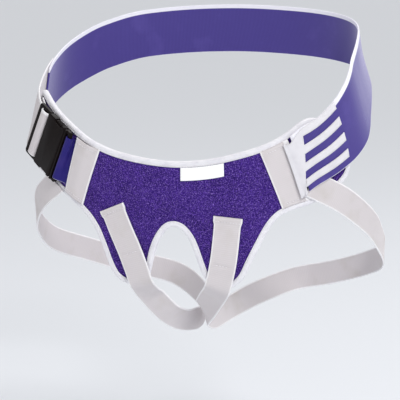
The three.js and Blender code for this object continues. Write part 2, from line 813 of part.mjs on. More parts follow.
// Buckle frame: its group stands flat over the wing
const buckleGroup = new THREE.Group();
group.add(buckleGroup);
const buckleLift = firstLayer + bindingThickness + clearance;
const buckleBase = formKnot(buckleAcross * panelReach, heightAt(buckleDrop), buckleLift);
{
  const ahead = formKnot(buckleAcross * panelReach + probe, heightAt(buckleDrop), buckleLift);
  const level = ahead.point.sub(buckleBase.point);
  level.addScaledVector(buckleBase.faces, -level.dot(buckleBase.faces)).normalize();
  const slope = THREE.MathUtils.degToRad(-buckleSlope);
  const x = level.applyAxisAngle(buckleBase.faces, slope);
  const y = buckleBase.faces.clone().cross(x);
  buckleGroup.quaternion.setFromRotationMatrix(new THREE.Matrix4().makeBasis(x, y, buckleBase.faces));
  buckleGroup.position.copy(buckleBase.point);
  buckleGroup.updateMatrixWorld(true);
}

// Places along the buckle, from its outer bar at the back to the tongue's bar at the front
const slotHalf = (elasticWidth + slotPlay) / 2;
const buckleHalf = slotHalf + buckleRail;
const housingBack = housingFront - housingLength;
const middleBack = housingBack - strapSlot - middleBar;
const middleFront = housingBack - strapSlot;
const outerFront = middleBack - strapSlot;
const outerBack = outerFront - outerBar;
const tongueBack = housingFront + clearance;
const shoulderFront = tongueBack + tongueShoulder;
const tongueBarBack = shoulderFront + tongueSlot;
const tongueFront = tongueBarBack + tongueBar;
const barLow = (buckleThickness - barThickness) / 2;
const barHigh = barLow + barThickness;

function roundedRectangle(x0, y0, x1, y1, radius) {
  const shape = new THREE.Shape();
  shape.moveTo(x0 + radius, y0);
  shape.lineTo(x1 - radius, y0);
  shape.absarc(x1 - radius, y0 + radius, radius, -Math.PI / 2, 0, false);
  shape.lineTo(x1, y1 - radius);
  shape.absarc(x1 - radius, y1 - radius, radius, 0, Math.PI / 2, false);
  shape.lineTo(x0 + radius, y1);
  shape.absarc(x0 + radius, y1 - radius, radius, Math.PI / 2, Math.PI, false);
  shape.lineTo(x0, y0 + radius);
  shape.absarc(x0 + radius, y0 + radius, radius, Math.PI, 1.5 * Math.PI, false);
  return shape;
}

function plate(x0, y0, x1, y1, z0, z1, radius, edge = 0) {
  const options = {
    depth: z1 - z0 - 2 * edge,
    bevelEnabled: edge > 0,
    bevelSize: edge,
    bevelThickness: edge,
    bevelOffset: -edge,
    bevelSegments: 1,
    curveSegments: 4,
  };
  const shape = roundedRectangle(x0, y0, x1, y1, radius);
  return solidFrom(new THREE.ExtrudeGeometry(shape, options).translate(0, 0, z0 + edge));
}

// What a hole through the whole thickness takes away
function cutThrough(x0, y0, x1, y1, radius) {
  return plate(x0, y0, x1, y1, -cutOver, buckleThickness + cutOver, radius);
}

const cutSlot = (x0, x1) => cutThrough(x0, -slotHalf, x1, slotHalf, slotRadius);

function addHousing() {
  const frameEnd = housingBack + joinOver;
  const frame = plate(outerBack, -buckleHalf, frameEnd, buckleHalf, barLow, barHigh, cornerRadius);
  const face = [housingBack, -buckleHalf, housingFront, buckleHalf];
  const block = plate(...face, 0, buckleThickness, cornerRadius, bevel);
  const cavityHalf = slotHalf - housingWall;
  const cavity = plate(
    housingFront - tongueDepth - cutOver,
    -cavityHalf,
    housingFront + cutOver + cornerRadius,
    cavityHalf,
    housingWall,
    buckleThickness - housingWall,
    cavityRadius,
  );
  const gripFront = housingFront - gripSetBack;
  const grip = (sign) => {
    const middle = sign * buckleHalf;
    const recess = [gripFront - gripLength, middle - gripDepth, gripFront, middle + gripDepth];
    return cutThrough(...recess, gripDepth * gripRound);
  };
  const openings = [
    cutSlot(outerFront, middleBack),
    cutSlot(middleFront, housingBack),
    cavity,
    grip(1),
    grip(-1),
  ];
  const housing = openings.reduce((solid, opening) => solid.subtract(opening), frame.add(block));
  addPiece("buckle_housing", geometryFrom(housing), black, 0.35, buckleGroup);
}

function addTongue() {
  const low = housingWall + clearance;
  const high = buckleThickness - housingWall - clearance;
  const reach = slotHalf - housingWall - clearance;
  const inside = housingFront - tongueDepth;
  const rootFront = tongueBack + joinOver / 2;
  const insidePlate = (x0, y0, y1, radius) => plate(x0, y0, rootFront, y1, low, high, radius);
  const head = plate(tongueBack, -buckleHalf, tongueFront, buckleHalf, barLow, barHigh, cornerRadius);
  const shoulder = plate(
    tongueBack,
    -buckleHalf,
    shoulderFront,
    buckleHalf,
    shoulderInset,
    buckleThickness - shoulderInset,
    tongueRound,
  );
  const blocks = [
    insidePlate(housingFront - tongueRoot, -reach, reach, cavityRadius),
    insidePlate(inside, reach - tongueArm, reach, tongueRound),
    insidePlate(inside, -reach, tongueArm - reach, tongueRound),
    insidePlate(inside + guideSetBack, -tongueGuide / 2, tongueGuide / 2, tongueRound),
    head,
    shoulder,
  ];
  const tongue = blocks.reduce((solid, block) => solid.add(block));
  const slotted = tongue.subtract(cutSlot(shoulderFront, tongueBarBack));
  addPiece("buckle_tongue", geometryFrom(slotted), black, 0.35, buckleGroup);
}

// A knot in the buckle's frame, brought into the part's frame
function buckleKnot(x, y, z, turn) {
  const radians = THREE.MathUtils.degToRad(turn);
  const faces = new THREE.Vector3(Math.sin(radians), 0, Math.cos(radians));
  return {
    point: buckleGroup.localToWorld(new THREE.Vector3(x, y, z)),
    faces: faces.applyQuaternion(buckleGroup.quaternion),
  };
}

// Knots of a turn round a bar, always clear of it
function turnRound(x, y, fromTurn, toTurn) {
  const radius = (Math.SQRT2 * barThickness) / 2 + clearance / 2;
  const middle = (barHigh + barLow) / 2;
  return Array.from({ length: turnSteps }, (_, k) => {
    const turn = mix(fromTurn, toTurn, k / (turnSteps - 1));
    const radians = THREE.MathUtils.degToRad(turn);
    return buckleKnot(x + radius * Math.sin(radians), y, middle + radius * Math.cos(radians), turn);
  });
}

// A knot on the form, on a line that runs with the buckle. side is 1 to face out and -1 to face in.
const slopeCos = Math.cos(THREE.MathUtils.degToRad(buckleSlope));
const slopeSin = Math.sin(THREE.MathUtils.degToRad(buckleSlope));
function lineKnot(x, y, lift, side) {
  const across = buckleAcross * panelReach + x * slopeCos + y * slopeSin;
  const height = heightAt(buckleDrop) - x * slopeSin + y * slopeCos;
  return { point: wrap(across, height, lift), faces: formNormal(across, height).multiplyScalar(side) };
}

// Loop of elastic from under the left band round the tongue's bar
function addBuckleLoop() {
  const bar = barThickness / 2;
  const lowPly = firstLayer + loopThickness;
  const highPly = lowPly + clearance;
  const sewn = ({ across, drop }, back, lift, side) => {
    const place = across * panelReach - back * slopeCos;
    const height = heightAt(drop) + back * slopeSin;
    return { point: wrap(place, height, lift), faces: formNormal(place, height).multiplyScalar(side) };
  };
  const edge = (end, y) => [
    sewn(end, 0, highPly, 1),
    sewn(end, loopSeam, highPly, 1),
    sewn(end, loopSeam + 4, highPly + 0.5, 1),
    buckleKnot(tongueFront + 1.0, y, barHigh - 0.6, 55),
    buckleKnot(tongueFront - 0.3, y, barHigh + clearance, 20),
    ...turnRound(tongueBarBack + bar, y, 0, -180),
    buckleKnot(tongueFront - bar, y, barLow - clearance, -188),
    sewn(end, loopSeam + 3, lowPly + 0.2, -1),
    sewn(end, loopSeam, lowPly, -1),
    sewn(end, 0, lowPly, -1),
  ];
  const middle = {
    across: (loopEnds.low.across + loopEnds.high.across) / 2,
    drop: (loopEnds.low.drop + loopEnds.high.drop) / 2,
  };
  const lines = [
    edge(loopEnds.low, -loopWidth / 2),
    edge(middle, 0),
    edge(loopEnds.high, loopWidth / 2),
  ];
  addPiece("buckle_loop", strip(lines, webbingSpacing, loopThickness), deepPurple, 0.6);
}

// Webbing end of the belt, through the housing's slots and back behind itself
function addBeltWebbing() {
  const bar = barThickness / 2;
  const overBinding = firstLayer + bindingThickness + clearance;
  const tailTop = overBinding + webbingThickness;
  const wingOver = tailTop + clearance;
  const join = (offset, share, rise) => {
    const { height, lift } = beltFlat(beltEnd + offset, share);
    const over = lift + elasticThickness + clearance + rise;
    return formKnot(beltEnd - 2 * halfGirth + offset, height, over);
  };
  const edge = (share) => {
    const y = elasticWidth * (share - 0.5);
    return [
      join(-14, share, 0),
      join(-1, share, 0.1),
      lineKnot(outerBack - 33, y, wingOver - 2.6, 1),
      lineKnot(outerBack - 20, y, wingOver + 0.2, 1),
      buckleKnot(outerBack - 4, y, barLow - clearance - webbingThickness - 0.4, 0),
      buckleKnot(outerFront + 0.5, y, barLow - clearance - webbingThickness - 0.2, -20),
      ...turnRound(middleBack + bar, y, -90, 0),
      ...turnRound(middleFront - bar, y, 0, 180),
      buckleKnot(middleBack + 1.5, y, barLow - clearance - 0.8, 182),
      buckleKnot(outerFront, y, barLow - 2.5 * clearance - webbingThickness - 0.3, 180),
      buckleKnot(outerBack, y, barLow - 3 * clearance - webbingThickness - 0.5, 180),
      lineKnot(outerBack - tailLength, y, tailTop, -1),
    ];
  };
  const lines = [edge(0), edge(0.5), edge(1)];
  addPiece("belt_webbing", strip(lines, webbingSpacing, webbingThickness), offWhite, 0.85);
}

addPanel();
addBinding();
addBands();
addLabel();
addLegStraps();
addBelt();
addComb();
addHousing();
addTongue();
addBuckleLoop();
addBeltWebbing();

export default group;
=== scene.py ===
# Hernia belt: cloth, stitching and buckle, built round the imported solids.
# Everything is in metres, +Z up, and the wearer faces -Y.
import math

import bmesh
import bpy
import numpy as np
from mathutils import Matrix, Vector, noise


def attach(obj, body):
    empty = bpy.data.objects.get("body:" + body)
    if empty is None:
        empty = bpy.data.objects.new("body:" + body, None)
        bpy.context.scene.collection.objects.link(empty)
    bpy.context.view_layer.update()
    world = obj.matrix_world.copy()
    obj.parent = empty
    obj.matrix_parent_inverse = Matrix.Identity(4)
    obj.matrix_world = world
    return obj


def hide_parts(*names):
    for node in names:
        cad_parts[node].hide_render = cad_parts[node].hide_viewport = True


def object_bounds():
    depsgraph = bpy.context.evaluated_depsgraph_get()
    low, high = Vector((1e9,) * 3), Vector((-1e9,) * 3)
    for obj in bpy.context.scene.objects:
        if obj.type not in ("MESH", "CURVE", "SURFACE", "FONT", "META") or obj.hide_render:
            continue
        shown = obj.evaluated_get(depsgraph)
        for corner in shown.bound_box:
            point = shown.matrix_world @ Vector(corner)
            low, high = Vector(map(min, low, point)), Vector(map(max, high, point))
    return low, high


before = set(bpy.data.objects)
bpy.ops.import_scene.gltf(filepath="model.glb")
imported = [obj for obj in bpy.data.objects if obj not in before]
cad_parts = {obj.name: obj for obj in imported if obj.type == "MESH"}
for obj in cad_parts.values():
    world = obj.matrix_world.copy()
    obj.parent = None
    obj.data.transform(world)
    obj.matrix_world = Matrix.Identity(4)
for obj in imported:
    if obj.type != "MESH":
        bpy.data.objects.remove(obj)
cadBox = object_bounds()
mm = 0.001
print("frame loaded:", len(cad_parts), "nodes")


# Camera, at the photograph's angle

cameraValues = {
    "azimuth": 14.0,
    "elevation": 9.0,
    "distance": 1.5,
    "lens": 135.0,
    "sensor": 36.0,
    "originRight": 10 * mm,  # where the part's origin shows, from the middle of the picture
    "originUp": 90 * mm,
}


def addCamera(values):
    azimuth, elevation = math.radians(values["azimuth"]), math.radians(values["elevation"])
    flat = math.cos(elevation)
    back = Vector((math.sin(azimuth) * flat, -math.cos(azimuth) * flat, math.sin(elevation)))
    right = Vector((math.cos(azimuth), math.sin(azimuth), 0))
    up = back.cross(right)
    target = -right * values["originRight"] - up * values["originUp"]
    bpy.ops.object.camera_add(location=target + back * values["distance"])
    camera = bpy.context.object
    camera.name = "camera"
    camera.rotation_euler = (-back).to_track_quat("-Z", "Y").to_euler()
    camera.data.lens = values["lens"]
    camera.data.sensor_width = values["sensor"]
    bpy.context.scene.camera = camera


addCamera(cameraValues)
print("camera placed")


# Meshes and splines


def mergedCopy(node):
    shape = bmesh.new()
    shape.from_mesh(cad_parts[node].data)
    bmesh.ops.remove_doubles(shape, verts=shape.verts, dist=0.02 * mm)
    shape.normal_update()
    return shape


def areaOf(region):
    return sum(face.calc_area() for face in region)


def middleOf(points):
    return sum(points, Vector()) / len(points)


# Faces grouped into patches that meet at sharp edges
def smoothRegions(shape, sharp=50):
    limit = math.radians(sharp)
    seen, regions = set(), []
    for start in shape.faces:
        if start in seen:
            continue
        region = [start]
        seen.add(start)
        for face in region:
            for edge in face.edges:
                for other in edge.link_faces:
                    if other not in seen and face.normal.angle(other.normal, 0) < limit:
                        seen.add(other)
                        region.append(other)
        regions.append(region)
    return sorted(regions, key=areaOf)


# Smooth values at some places, through values at rising knots
def through(knots, values, places):
    slopes = np.gradient(values, knots, axis=0)
    k = np.clip(np.searchsorted(knots, places, side="right") - 1, 0, len(knots) - 2)
    span = (knots[k + 1] - knots[k]).reshape(-1, *[1] * (values.ndim - 1))
    t = (places - knots[k]).reshape(span.shape) / span
    low = (2 * t**3 - 3 * t**2 + 1) * values[k] + (t**3 - 2 * t**2 + t) * span * slopes[k]
    high = (3 * t**2 - 2 * t**3) * values[k + 1] + (t**3 - t**2) * span * slopes[k + 1]
    return low + high


def lengthsAlong(line):
    return np.concatenate([[0], np.cumsum(np.linalg.norm(np.diff(line, axis=0), axis=1))])


def unit(vectors):
    return vectors / np.maximum(np.linalg.norm(vectors, axis=-1, keepdims=True), 1e-12)


# From 0 to 1 where a distance turns positive
def softStep(away, softness):
    return 1 / (1 + np.exp(-np.clip(away / softness, -40, 40)))


# 1 at no distance and nothing beyond about twice the width
def dip(away, width):
    return np.exp(-((away / width) ** 2))


# From 0 to 1 as a distance goes from nothing to reach, level at both ends
def rising(away, reach):
    share = np.clip(away / reach, 0, 1)
    return share * share * (3 - 2 * share)


# Distance from each point to the nearest of some others
def distances(points, others, batch=4000):
    found = []
    for first in range(0, len(points), batch):
        part = points[first : first + batch]
        found.append(np.sqrt(((part[:, None] - others[None]) ** 2).sum(-1).min(1)))
    return np.concatenate(found)


# The line with its first point again at the end
def closed(line):
    return np.concatenate([line, line[:1]])


def linkedPiece(name, mesh):
    piece = bpy.data.objects.new(name, mesh)
    bpy.context.scene.collection.objects.link(piece)
    return piece


def pieceFromShape(name, shape):
    mesh = bpy.data.meshes.new(name)
    shape.to_mesh(mesh)
    shape.free()
    return linkedPiece(name, mesh)


def turnOutward(piece):
    shape = bmesh.new()
    shape.from_mesh(piece.data)
    bmesh.ops.recalc_face_normals(shape, faces=shape.faces)
    shape.to_mesh(piece.data)
    shape.free()


def newPiece(name, points, faces, uvs=None):
    mesh = bpy.data.meshes.new(name)
    mesh.from_pydata([tuple(p) for p in points], [], faces)
    if uvs is not None:
        layer = mesh.uv_layers.new(name="cloth")
        for loop in mesh.loops:
            layer.data[loop.index].uv = uvs[loop.vertex_index]
    mesh.shade_smooth()
    piece = linkedPiece(name, mesh)
    turnOutward(piece)
    return piece


def selectOnly(*pieces):
    bpy.ops.object.select_all(action="DESELECT")
    for piece in pieces:
        piece.select_set(True)
    bpy.context.view_layer.objects.active = pieces[0]


def joined(name, pieces):
    selectOnly(*pieces)
    if len(pieces) > 1:
        bpy.ops.object.join()
    pieces[0].name = name
    return pieces[0]


def finishPiece(piece, slot, material, *nodes):
    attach(piece, "root")
    if nodes:
        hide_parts(*nodes)
    piece.data.materials.clear()
    piece.data.materials.append(material)
    print("made", piece.name, len(piece.data.polygons), "faces")


# The rings of points of a strip in the solids, from the end that lies towards first
def stripRings(node, first, rows):
    shape = mergedCopy(node)
    ends = [region for region in smoothRegions(shape) if len(region) == 2 * rows]
    ends.sort(key=lambda region: middleOf([f.calc_center_median() for f in region]).dot(Vector(first)))
    ring = sorted({v for face in ends[-1] for v in face.verts}, key=lambda v: v.index)
    seen, rings = set(ring), []
    while ring:
        rings.append([v.co.copy() for v in ring])
        following = {other for v in ring for edge in v.link_edges for other in edge.verts} - seen
        seen |= following
        ring = sorted(following, key=lambda v: v.index)
    shape.free()
    return rings


# A strip read as stations: middle points and the way from the inner to the outer face. It is as
# many cells wide as rows says.
def readStrip(node, first, rows):
    rings = stripRings(node, first, rows)
    middles = [middleOf(points) for points in rings]
    sideways, outward = None, None
    middle, rise = [], []
    for k, points in enumerate(rings):
        far = max(points, key=lambda p: (p - points[0]).length)
        farther = max(points, key=lambda p: (p - far).length)
        across = (far - farther).normalized()
        if sideways is not None and across.dot(sideways) < 0:
            across.negate()
        sideways = across
        travel = middles[min(k + 1, len(rings) - 1)] - middles[max(k - 1, 0)]
        normal = travel.cross(across).normalized()
        if outward is None:
            outward = Vector((middles[0].x, middles[0].y, 0))
        if normal.dot(outward) < 0:
            normal.negate()
        outward = normal
        points.sort(key=lambda p: p.dot(across))
        pairs = [sorted(points[j : j + 2], key=lambda p: p.dot(normal)) for j in range(0, len(points), 2)]
        middle.append([(inner + outer) / 2 for inner, outer in pairs])
        rise.append([outer - inner for inner, outer in pairs])
    return np.array(middle), np.array(rise)


# The same strip with both ends carried on a little way
def lengthened(read, distance):
    middle, rise = read
    ends = middle.copy()
    ends[0] += unit(middle[0] - middle[1]) * distance
    ends[-1] += unit(middle[-1] - middle[-2]) * distance
    return ends, rise


# Woven strip: a fine copy of a read strip, with rounded selvedges and its own UV in metres


def crossPlaces(width, edgeSteps, columns):
    edge = [0.0] + [step * mm / width for step in edgeSteps]
    inner = np.linspace(edge[-1], 1 - edge[-1], columns)[1:-1]
    return np.array([*edge, *inner, *[1 - place for place in reversed(edge)]])


# The closed skin of a strip whose outer and inner points follow one another, row by row
def stripFaces(rows, columns):
    def at(side, row, column):
        return (side * rows + row) * columns + column

    faces = []
    for i in range(rows - 1):
        for j in range(columns - 1):
            faces.append((at(0, i, j), at(0, i, j + 1), at(0, i + 1, j + 1), at(0, i + 1, j)))
            faces.append((at(1, i, j), at(1, i + 1, j), at(1, i + 1, j + 1), at(1, i, j + 1)))
        last = columns - 1
        faces.append((at(0, i, 0), at(0, i + 1, 0), at(1, i + 1, 0), at(1, i, 0)))
        faces.append((at(0, i, last), at(1, i, last), at(1, i + 1, last), at(0, i + 1, last)))
    for j in range(columns - 1):
        last = rows - 1
        faces.append((at(0, 0, j), at(1, 0, j), at(1, 0, j + 1), at(0, 0, j + 1)))
        faces.append((at(0, last, j), at(0, last, j + 1), at(1, last, j + 1), at(1, last, j)))
    return faces


stripEdges = (0.12, 0.35, 0.75, 1.4, 2.4)  # fine columns beside a selvedge, in mm from it
selvedgeMiddle, selvedgeHalf = 1.1 * mm, 0.8 * mm
pressing = []  # points of every strip, which keep the foam below them flat


# The strip's middle as a fine grid, its normals, places along it, shares across it and its width
def fineGrid(read, values):
    middle, rise = read
    rows = middle.shape[1]
    centre = middle[:, rows // 2] if rows % 2 else middle.mean(axis=1)
    knots = lengthsAlong(centre)
    count = max(4, int(round(knots[-1] / values["step"])))
    places = np.linspace(0, knots[-1], count + 1)
    longMiddle = through(knots, middle, places).transpose(1, 0, 2)
    longRise = unit(through(knots, unit(rise), places)).transpose(1, 0, 2)
    width = float(np.linalg.norm(middle[:, -1] - middle[:, 0], axis=1).mean())
    shares = crossPlaces(width, stripEdges, values["columns"])
    rowKnots = np.linspace(0, 1, rows)
    grid = through(rowKnots, longMiddle, shares).transpose(1, 0, 2)
    normals = unit(through(rowKnots, longRise, shares).transpose(1, 0, 2))
    return grid, normals, places, shares, width


def weaveStrip(name, read, values):
    grid, normals, places, shares, width = fineGrid(read, values)
    length = float(places[-1])
    fromEdge = np.minimum(shares, 1 - shares) * width
    rounded = np.sqrt(np.clip(1 - (1 - np.clip(fromEdge / values["edgeRound"], 0, 1)) ** 2, 0.02, 1))
    half = values["thickness"] / 2 * rounded
    selvedge = values["selvedge"] * dip(fromEdge - selvedgeMiddle, selvedgeHalf)
    outer = np.zeros(grid.shape[:2]) + half + selvedge
    inner = np.zeros(grid.shape[:2]) - half
    if "lift" in values:
        outerLift, innerLift = values["lift"](places, shares, length)
        outer, inner = outer + outerLift, inner + innerLift
    if "spread" in values:
        sideways = unit(grid[:, -1:] - grid[:, :1])
        grid = grid + sideways * values["spread"](places, shares, length)[..., None]
    outerPoints = grid + normals * outer[..., None]
    innerPoints = grid + normals * inner[..., None]
    points = np.concatenate([outerPoints.reshape(-1, 3), innerPoints.reshape(-1, 3)])
    uvs = [(share * width, place) for place in places for share in shares] * 2
    piece = newPiece(name, points, stripFaces(*grid.shape[:2]), uvs)
    pressing.append(innerPoints[::2, ::4].reshape(-1, 3))
    surface = {
        "places": places,
        "shares": shares,
        "outer": outerPoints,
        "normals": normals,
        "width": width,
        "length": length,
    }
    return piece, surface


# A point and a normal on a woven strip's outer face
def onStrip(surface, place, share):
    i = int(np.clip(np.searchsorted(surface["places"], place) - 1, 0, len(surface["places"]) - 2))
    j = int(np.clip(np.searchsorted(surface["shares"], share) - 1, 0, len(surface["shares"]) - 2))
    s = (place - surface["places"][i]) / (surface["places"][i + 1] - surface["places"][i])
    t = (share - surface["shares"][j]) / (surface["shares"][j + 1] - surface["shares"][j])
    found = []
    for grid in (surface["outer"], surface["normals"]):
        low = grid[i, j] * (1 - t) + grid[i, j + 1] * t
        high = grid[i + 1, j] * (1 - t) + grid[i + 1, j + 1] * t
        found.append(low * (1 - s) + high * s)
    return found[0], found[1]


# Stitches: short thread capsules along a line of points and normals

threadValues = {
    "radius": 0.32 * mm,
    "length": 1.9 * mm,
    "pitch": 2.7 * mm,
    "sides": 6,
    "sink": 0.08 * mm,
    # along half of the stitch, thickness and lift in radii
    "stations": (
        (-1.0, 0.25, -0.7),
        (-0.72, 0.85, -0.1),
        (0.0, 1.0, 0.35),
        (0.72, 0.85, -0.1),
        (1.0, 0.25, -0.7),
    ),
}


def stitchRow(name, line, normals, values=threadValues):
    line, normals = np.array(line), unit(np.array(normals))
    knots = lengthsAlong(line)
    count = max(1, int(knots[-1] / values["pitch"]))
    places = (np.arange(count) + 0.5) * knots[-1] / count
    points, faces = [], []
    sides, radius, half = values["sides"], values["radius"], values["length"] / 2
    stations = values["stations"]

    def sample(grid, place):
        return np.array([np.interp(place, knots, grid[:, axis]) for axis in range(3)])

    for place in places:
        ahead = sample(line, min(place + half, knots[-1])) - sample(line, max(place - half, 0))
        travel, up = unit(ahead), unit(sample(normals, place))
        side = unit(np.cross(travel, up))
        base = len(points)
        centre = sample(line, place) + up * (radius - values["sink"])
        for along, thick, lift in stations:
            for k in range(sides):
                turn = 2 * math.pi * k / sides
                ring = side * math.cos(turn) + up * math.sin(turn)
                points.append(centre + travel * along * half + ring * radius * thick + up * lift * radius)
        for row in range(len(stations) - 1):
            for k in range(sides):
                a, b = base + row * sides + k, base + row * sides + (k + 1) % sides
                faces.append((a, b, b + sides, a + sides))
        faces.append(tuple(base + k for k in reversed(range(sides))))
        faces.append(tuple(base + (len(stations) - 1) * sides + k for k in range(sides)))
    return newPiece(name, points, faces)


# Rows of stitches on a woven strip, each from one place and share of the width to another
def stripStitches(name, surface, rows):
    pieces = []
    for k, (fromPlace, fromShare, toPlace, toShare) in enumerate(rows):
        along, sideways = toPlace - fromPlace, toShare - fromShare
        steps = max(2, int(math.hypot(along, sideways * surface["width"]) / mm))
        found = []
        for part in range(steps + 1):
            place = fromPlace + along * part / steps
            share = fromShare + sideways * part / steps
            found.append(onStrip(surface, place, share))
        pieces.append(stitchRow(f"{name}_{k}", [p for p, _ in found], [n for _, n in found]))
    return joined(name, pieces)


# Shader groups that several finishes share


def newGroup(name, inputs, outputs):
    group = bpy.data.node_groups.new(name, "ShaderNodeTree")
    for label, kind, value in inputs:
        socket = group.interface.new_socket(label, in_out="INPUT", socket_type=kind)
        socket.default_value = value
    for label, kind in outputs:
        group.interface.new_socket(label, in_out="OUTPUT", socket_type=kind)
    return group, group.nodes.new("NodeGroupInput"), group.nodes.new("NodeGroupOutput")


def mathNode(tree, operation, first, second=None, third=None):
    node = tree.nodes.new("ShaderNodeMath")
    node.operation = operation
    for socket, value in zip(node.inputs, (first, second, third)):
        if value is None:
            continue
        if isinstance(value, (int, float)):
            socket.default_value = value
        else:
            tree.links.new(value, socket)
    return node.outputs[0]


def mixColors(tree, factor, first, second):
    node = tree.nodes.new("ShaderNodeMix")
    node.data_type = "RGBA"
    for socket, value in zip((node.inputs[0], node.inputs[6], node.inputs[7]), (factor, first, second)):
        if isinstance(value, (int, float)):
            socket.default_value = value
        elif isinstance(value, tuple):
            socket.default_value = (*value, 1)
        else:
            tree.links.new(value, socket)
    return node.outputs[2]


# Nap: a soft pile with fine lighter and darker fibres. Scales are features in a metre.
def napGroup():
    group, given, out = newGroup(
        "napped pile",
        [
            ("Vector", "NodeSocketVector", (0, 0, 0)),
            ("Fine Scale", "NodeSocketFloat", 900.0),
            ("Broad Scale", "NodeSocketFloat", 45.0),
        ],
        [("Fibre", "NodeSocketFloat"), ("Broad", "NodeSocketFloat"), ("Height", "NodeSocketFloat")],
    )
    found = {}
    for label, scale, detail in (("Fibre", "Fine Scale", 3.0), ("Broad", "Broad Scale", 4.0)):
        texture = group.nodes.new("ShaderNodeTexNoise")
        texture.inputs["Detail"].default_value = detail
        texture.inputs["Roughness"].default_value = 0.65
        group.links.new(given.outputs["Vector"], texture.inputs["Vector"])
        group.links.new(given.outputs[scale], texture.inputs["Scale"])
        found[label] = texture.outputs["Fac"]
        group.links.new(texture.outputs["Fac"], out.inputs[label])
    tuft = group.nodes.new("ShaderNodeTexVoronoi")
    group.links.new(given.outputs["Vector"], tuft.inputs["Vector"])
    group.links.new(given.outputs["Fine Scale"], tuft.inputs["Scale"])
    height = mathNode(group, "MULTIPLY_ADD", tuft.outputs["Distance"], -0.5, found["Fibre"])
    group.links.new(height, out.inputs["Height"])
    return group


# Weave: ribs across a strip and fine warp threads along it, from a UV in metres
def weaveGroup():
    group, given, out = newGroup(
        "ribbed weave",
        [
            ("UV", "NodeSocketVector", (0, 0, 0)),
            ("Rib Pitch", "NodeSocketFloat", 0.0016),
            ("Warp Pitch", "NodeSocketFloat", 0.0009),
            ("Strip Width", "NodeSocketFloat", 0.025),
            ("Edge Width", "NodeSocketFloat", 0.0012),
        ],
        [
            ("Rib", "NodeSocketFloat"),
            ("Warp", "NodeSocketFloat"),
            ("Edge", "NodeSocketFloat"),
            ("Height", "NodeSocketFloat"),
        ],
    )
    split = group.nodes.new("ShaderNodeSeparateXYZ")
    group.links.new(given.outputs["UV"], split.inputs[0])
    wave = {}
    for label, axis, pitch in (("Rib", 1, "Rib Pitch"), ("Warp", 0, "Warp Pitch")):
        turns = mathNode(group, "DIVIDE", split.outputs[axis], given.outputs[pitch])
        angle = mathNode(group, "MULTIPLY", turns, 2 * math.pi)
        wave[label] = mathNode(group, "MULTIPLY_ADD", mathNode(group, "SINE", angle), 0.5, 0.5)
        group.links.new(wave[label], out.inputs[label])
    toFar = mathNode(group, "SUBTRACT", given.outputs["Strip Width"], split.outputs[0])
    fromEdge = mathNode(group, "MINIMUM", split.outputs[0], toFar)
    share = mathNode(group, "DIVIDE", fromEdge, given.outputs["Edge Width"])
    edge = mathNode(group, "SUBTRACT", 1.6, share)
    edge.node.use_clamp = True
    group.links.new(edge, out.inputs["Edge"])
    crossed = mathNode(group, "MULTIPLY", wave["Rib"], wave["Warp"])
    group.links.new(mathNode(group, "MULTIPLY_ADD", wave["Rib"], 0.8, crossed), out.inputs["Height"])
    return group


# Handling: broad soft soiling and shade changes that keep cloth from looking printed
def wearGroup():
    group, given, out = newGroup(
        "handling",
        [("Vector", "NodeSocketVector", (0, 0, 0)), ("Scale", "NodeSocketFloat", 30.0)],
        [("Shade", "NodeSocketFloat")],
    )
    texture = group.nodes.new("ShaderNodeTexNoise")
    texture.inputs["Detail"].default_value = 5.0
    group.links.new(given.outputs["Vector"], texture.inputs["Vector"])
    group.links.new(given.outputs["Scale"], texture.inputs["Scale"])
    group.links.new(texture.outputs["Fac"], out.inputs["Shade"])
    return group


groups = {"nap": napGroup(), "weave": weaveGroup(), "wear": wearGroup()}

# Materials: one set of values each, over these plain ones

plainShading = {
    "roughness": 0.9,
    "specular": 0.3,
    "sheen": 0.0,
    "sheenRoughness": 0.4,
    "sheenTint": (1.0, 1.0, 1.0),
}


def newMaterial(name, values):
    material = bpy.data.materials.new(name)
    material.use_nodes = True
    tree = material.node_tree
    shader = tree.nodes["Principled BSDF"]
    shader.inputs["Roughness"].default_value = values["roughness"]
    shader.inputs["Sheen Weight"].default_value = values["sheen"]
    shader.inputs["Sheen Roughness"].default_value = values["sheenRoughness"]
    shader.inputs["Sheen Tint"].default_value = (*values["sheenTint"], 1)
    shader.inputs["Specular IOR Level"].default_value = values["specular"]
    return material, tree, shader


def objectVector(tree):
    return tree.nodes.new("ShaderNodeTexCoord").outputs["Object"]


def placeGroup(tree, key, inputs):
    node = tree.nodes.new("ShaderNodeGroup")
    node.node_tree = groups[key]
    for label, value in inputs.items():
        node.inputs[label].default_value = value
    return node


def placeNap(tree, fineScale, broadScale):
    node = placeGroup(tree, "nap", {"Fine Scale": fineScale, "Broad Scale": broadScale})
    tree.links.new(objectVector(tree), node.inputs["Vector"])
    return node


def clothUv(tree):
    node = tree.nodes.new("ShaderNodeUVMap")
    node.uv_map = "cloth"
    return node.outputs["UV"]


def bumpTo(tree, shader, height, values):
    bump = tree.nodes.new("ShaderNodeBump")
    bump.inputs["Strength"].default_value = values["bump"]
    bump.inputs["Distance"].default_value = values["bumpDepth"]
    tree.links.new(height, bump.inputs["Height"])
    tree.links.new(bump.outputs["Normal"], shader.inputs["Normal"])


# A value spread from its span to 0 and 1
def levels(tree, value, span):
    node = tree.nodes.new("ShaderNodeMapRange")
    node.inputs["From Min"].default_value = span[0]
    node.inputs["From Max"].default_value = span[1]
    tree.links.new(value, node.inputs["Value"])
    return node.outputs["Result"]


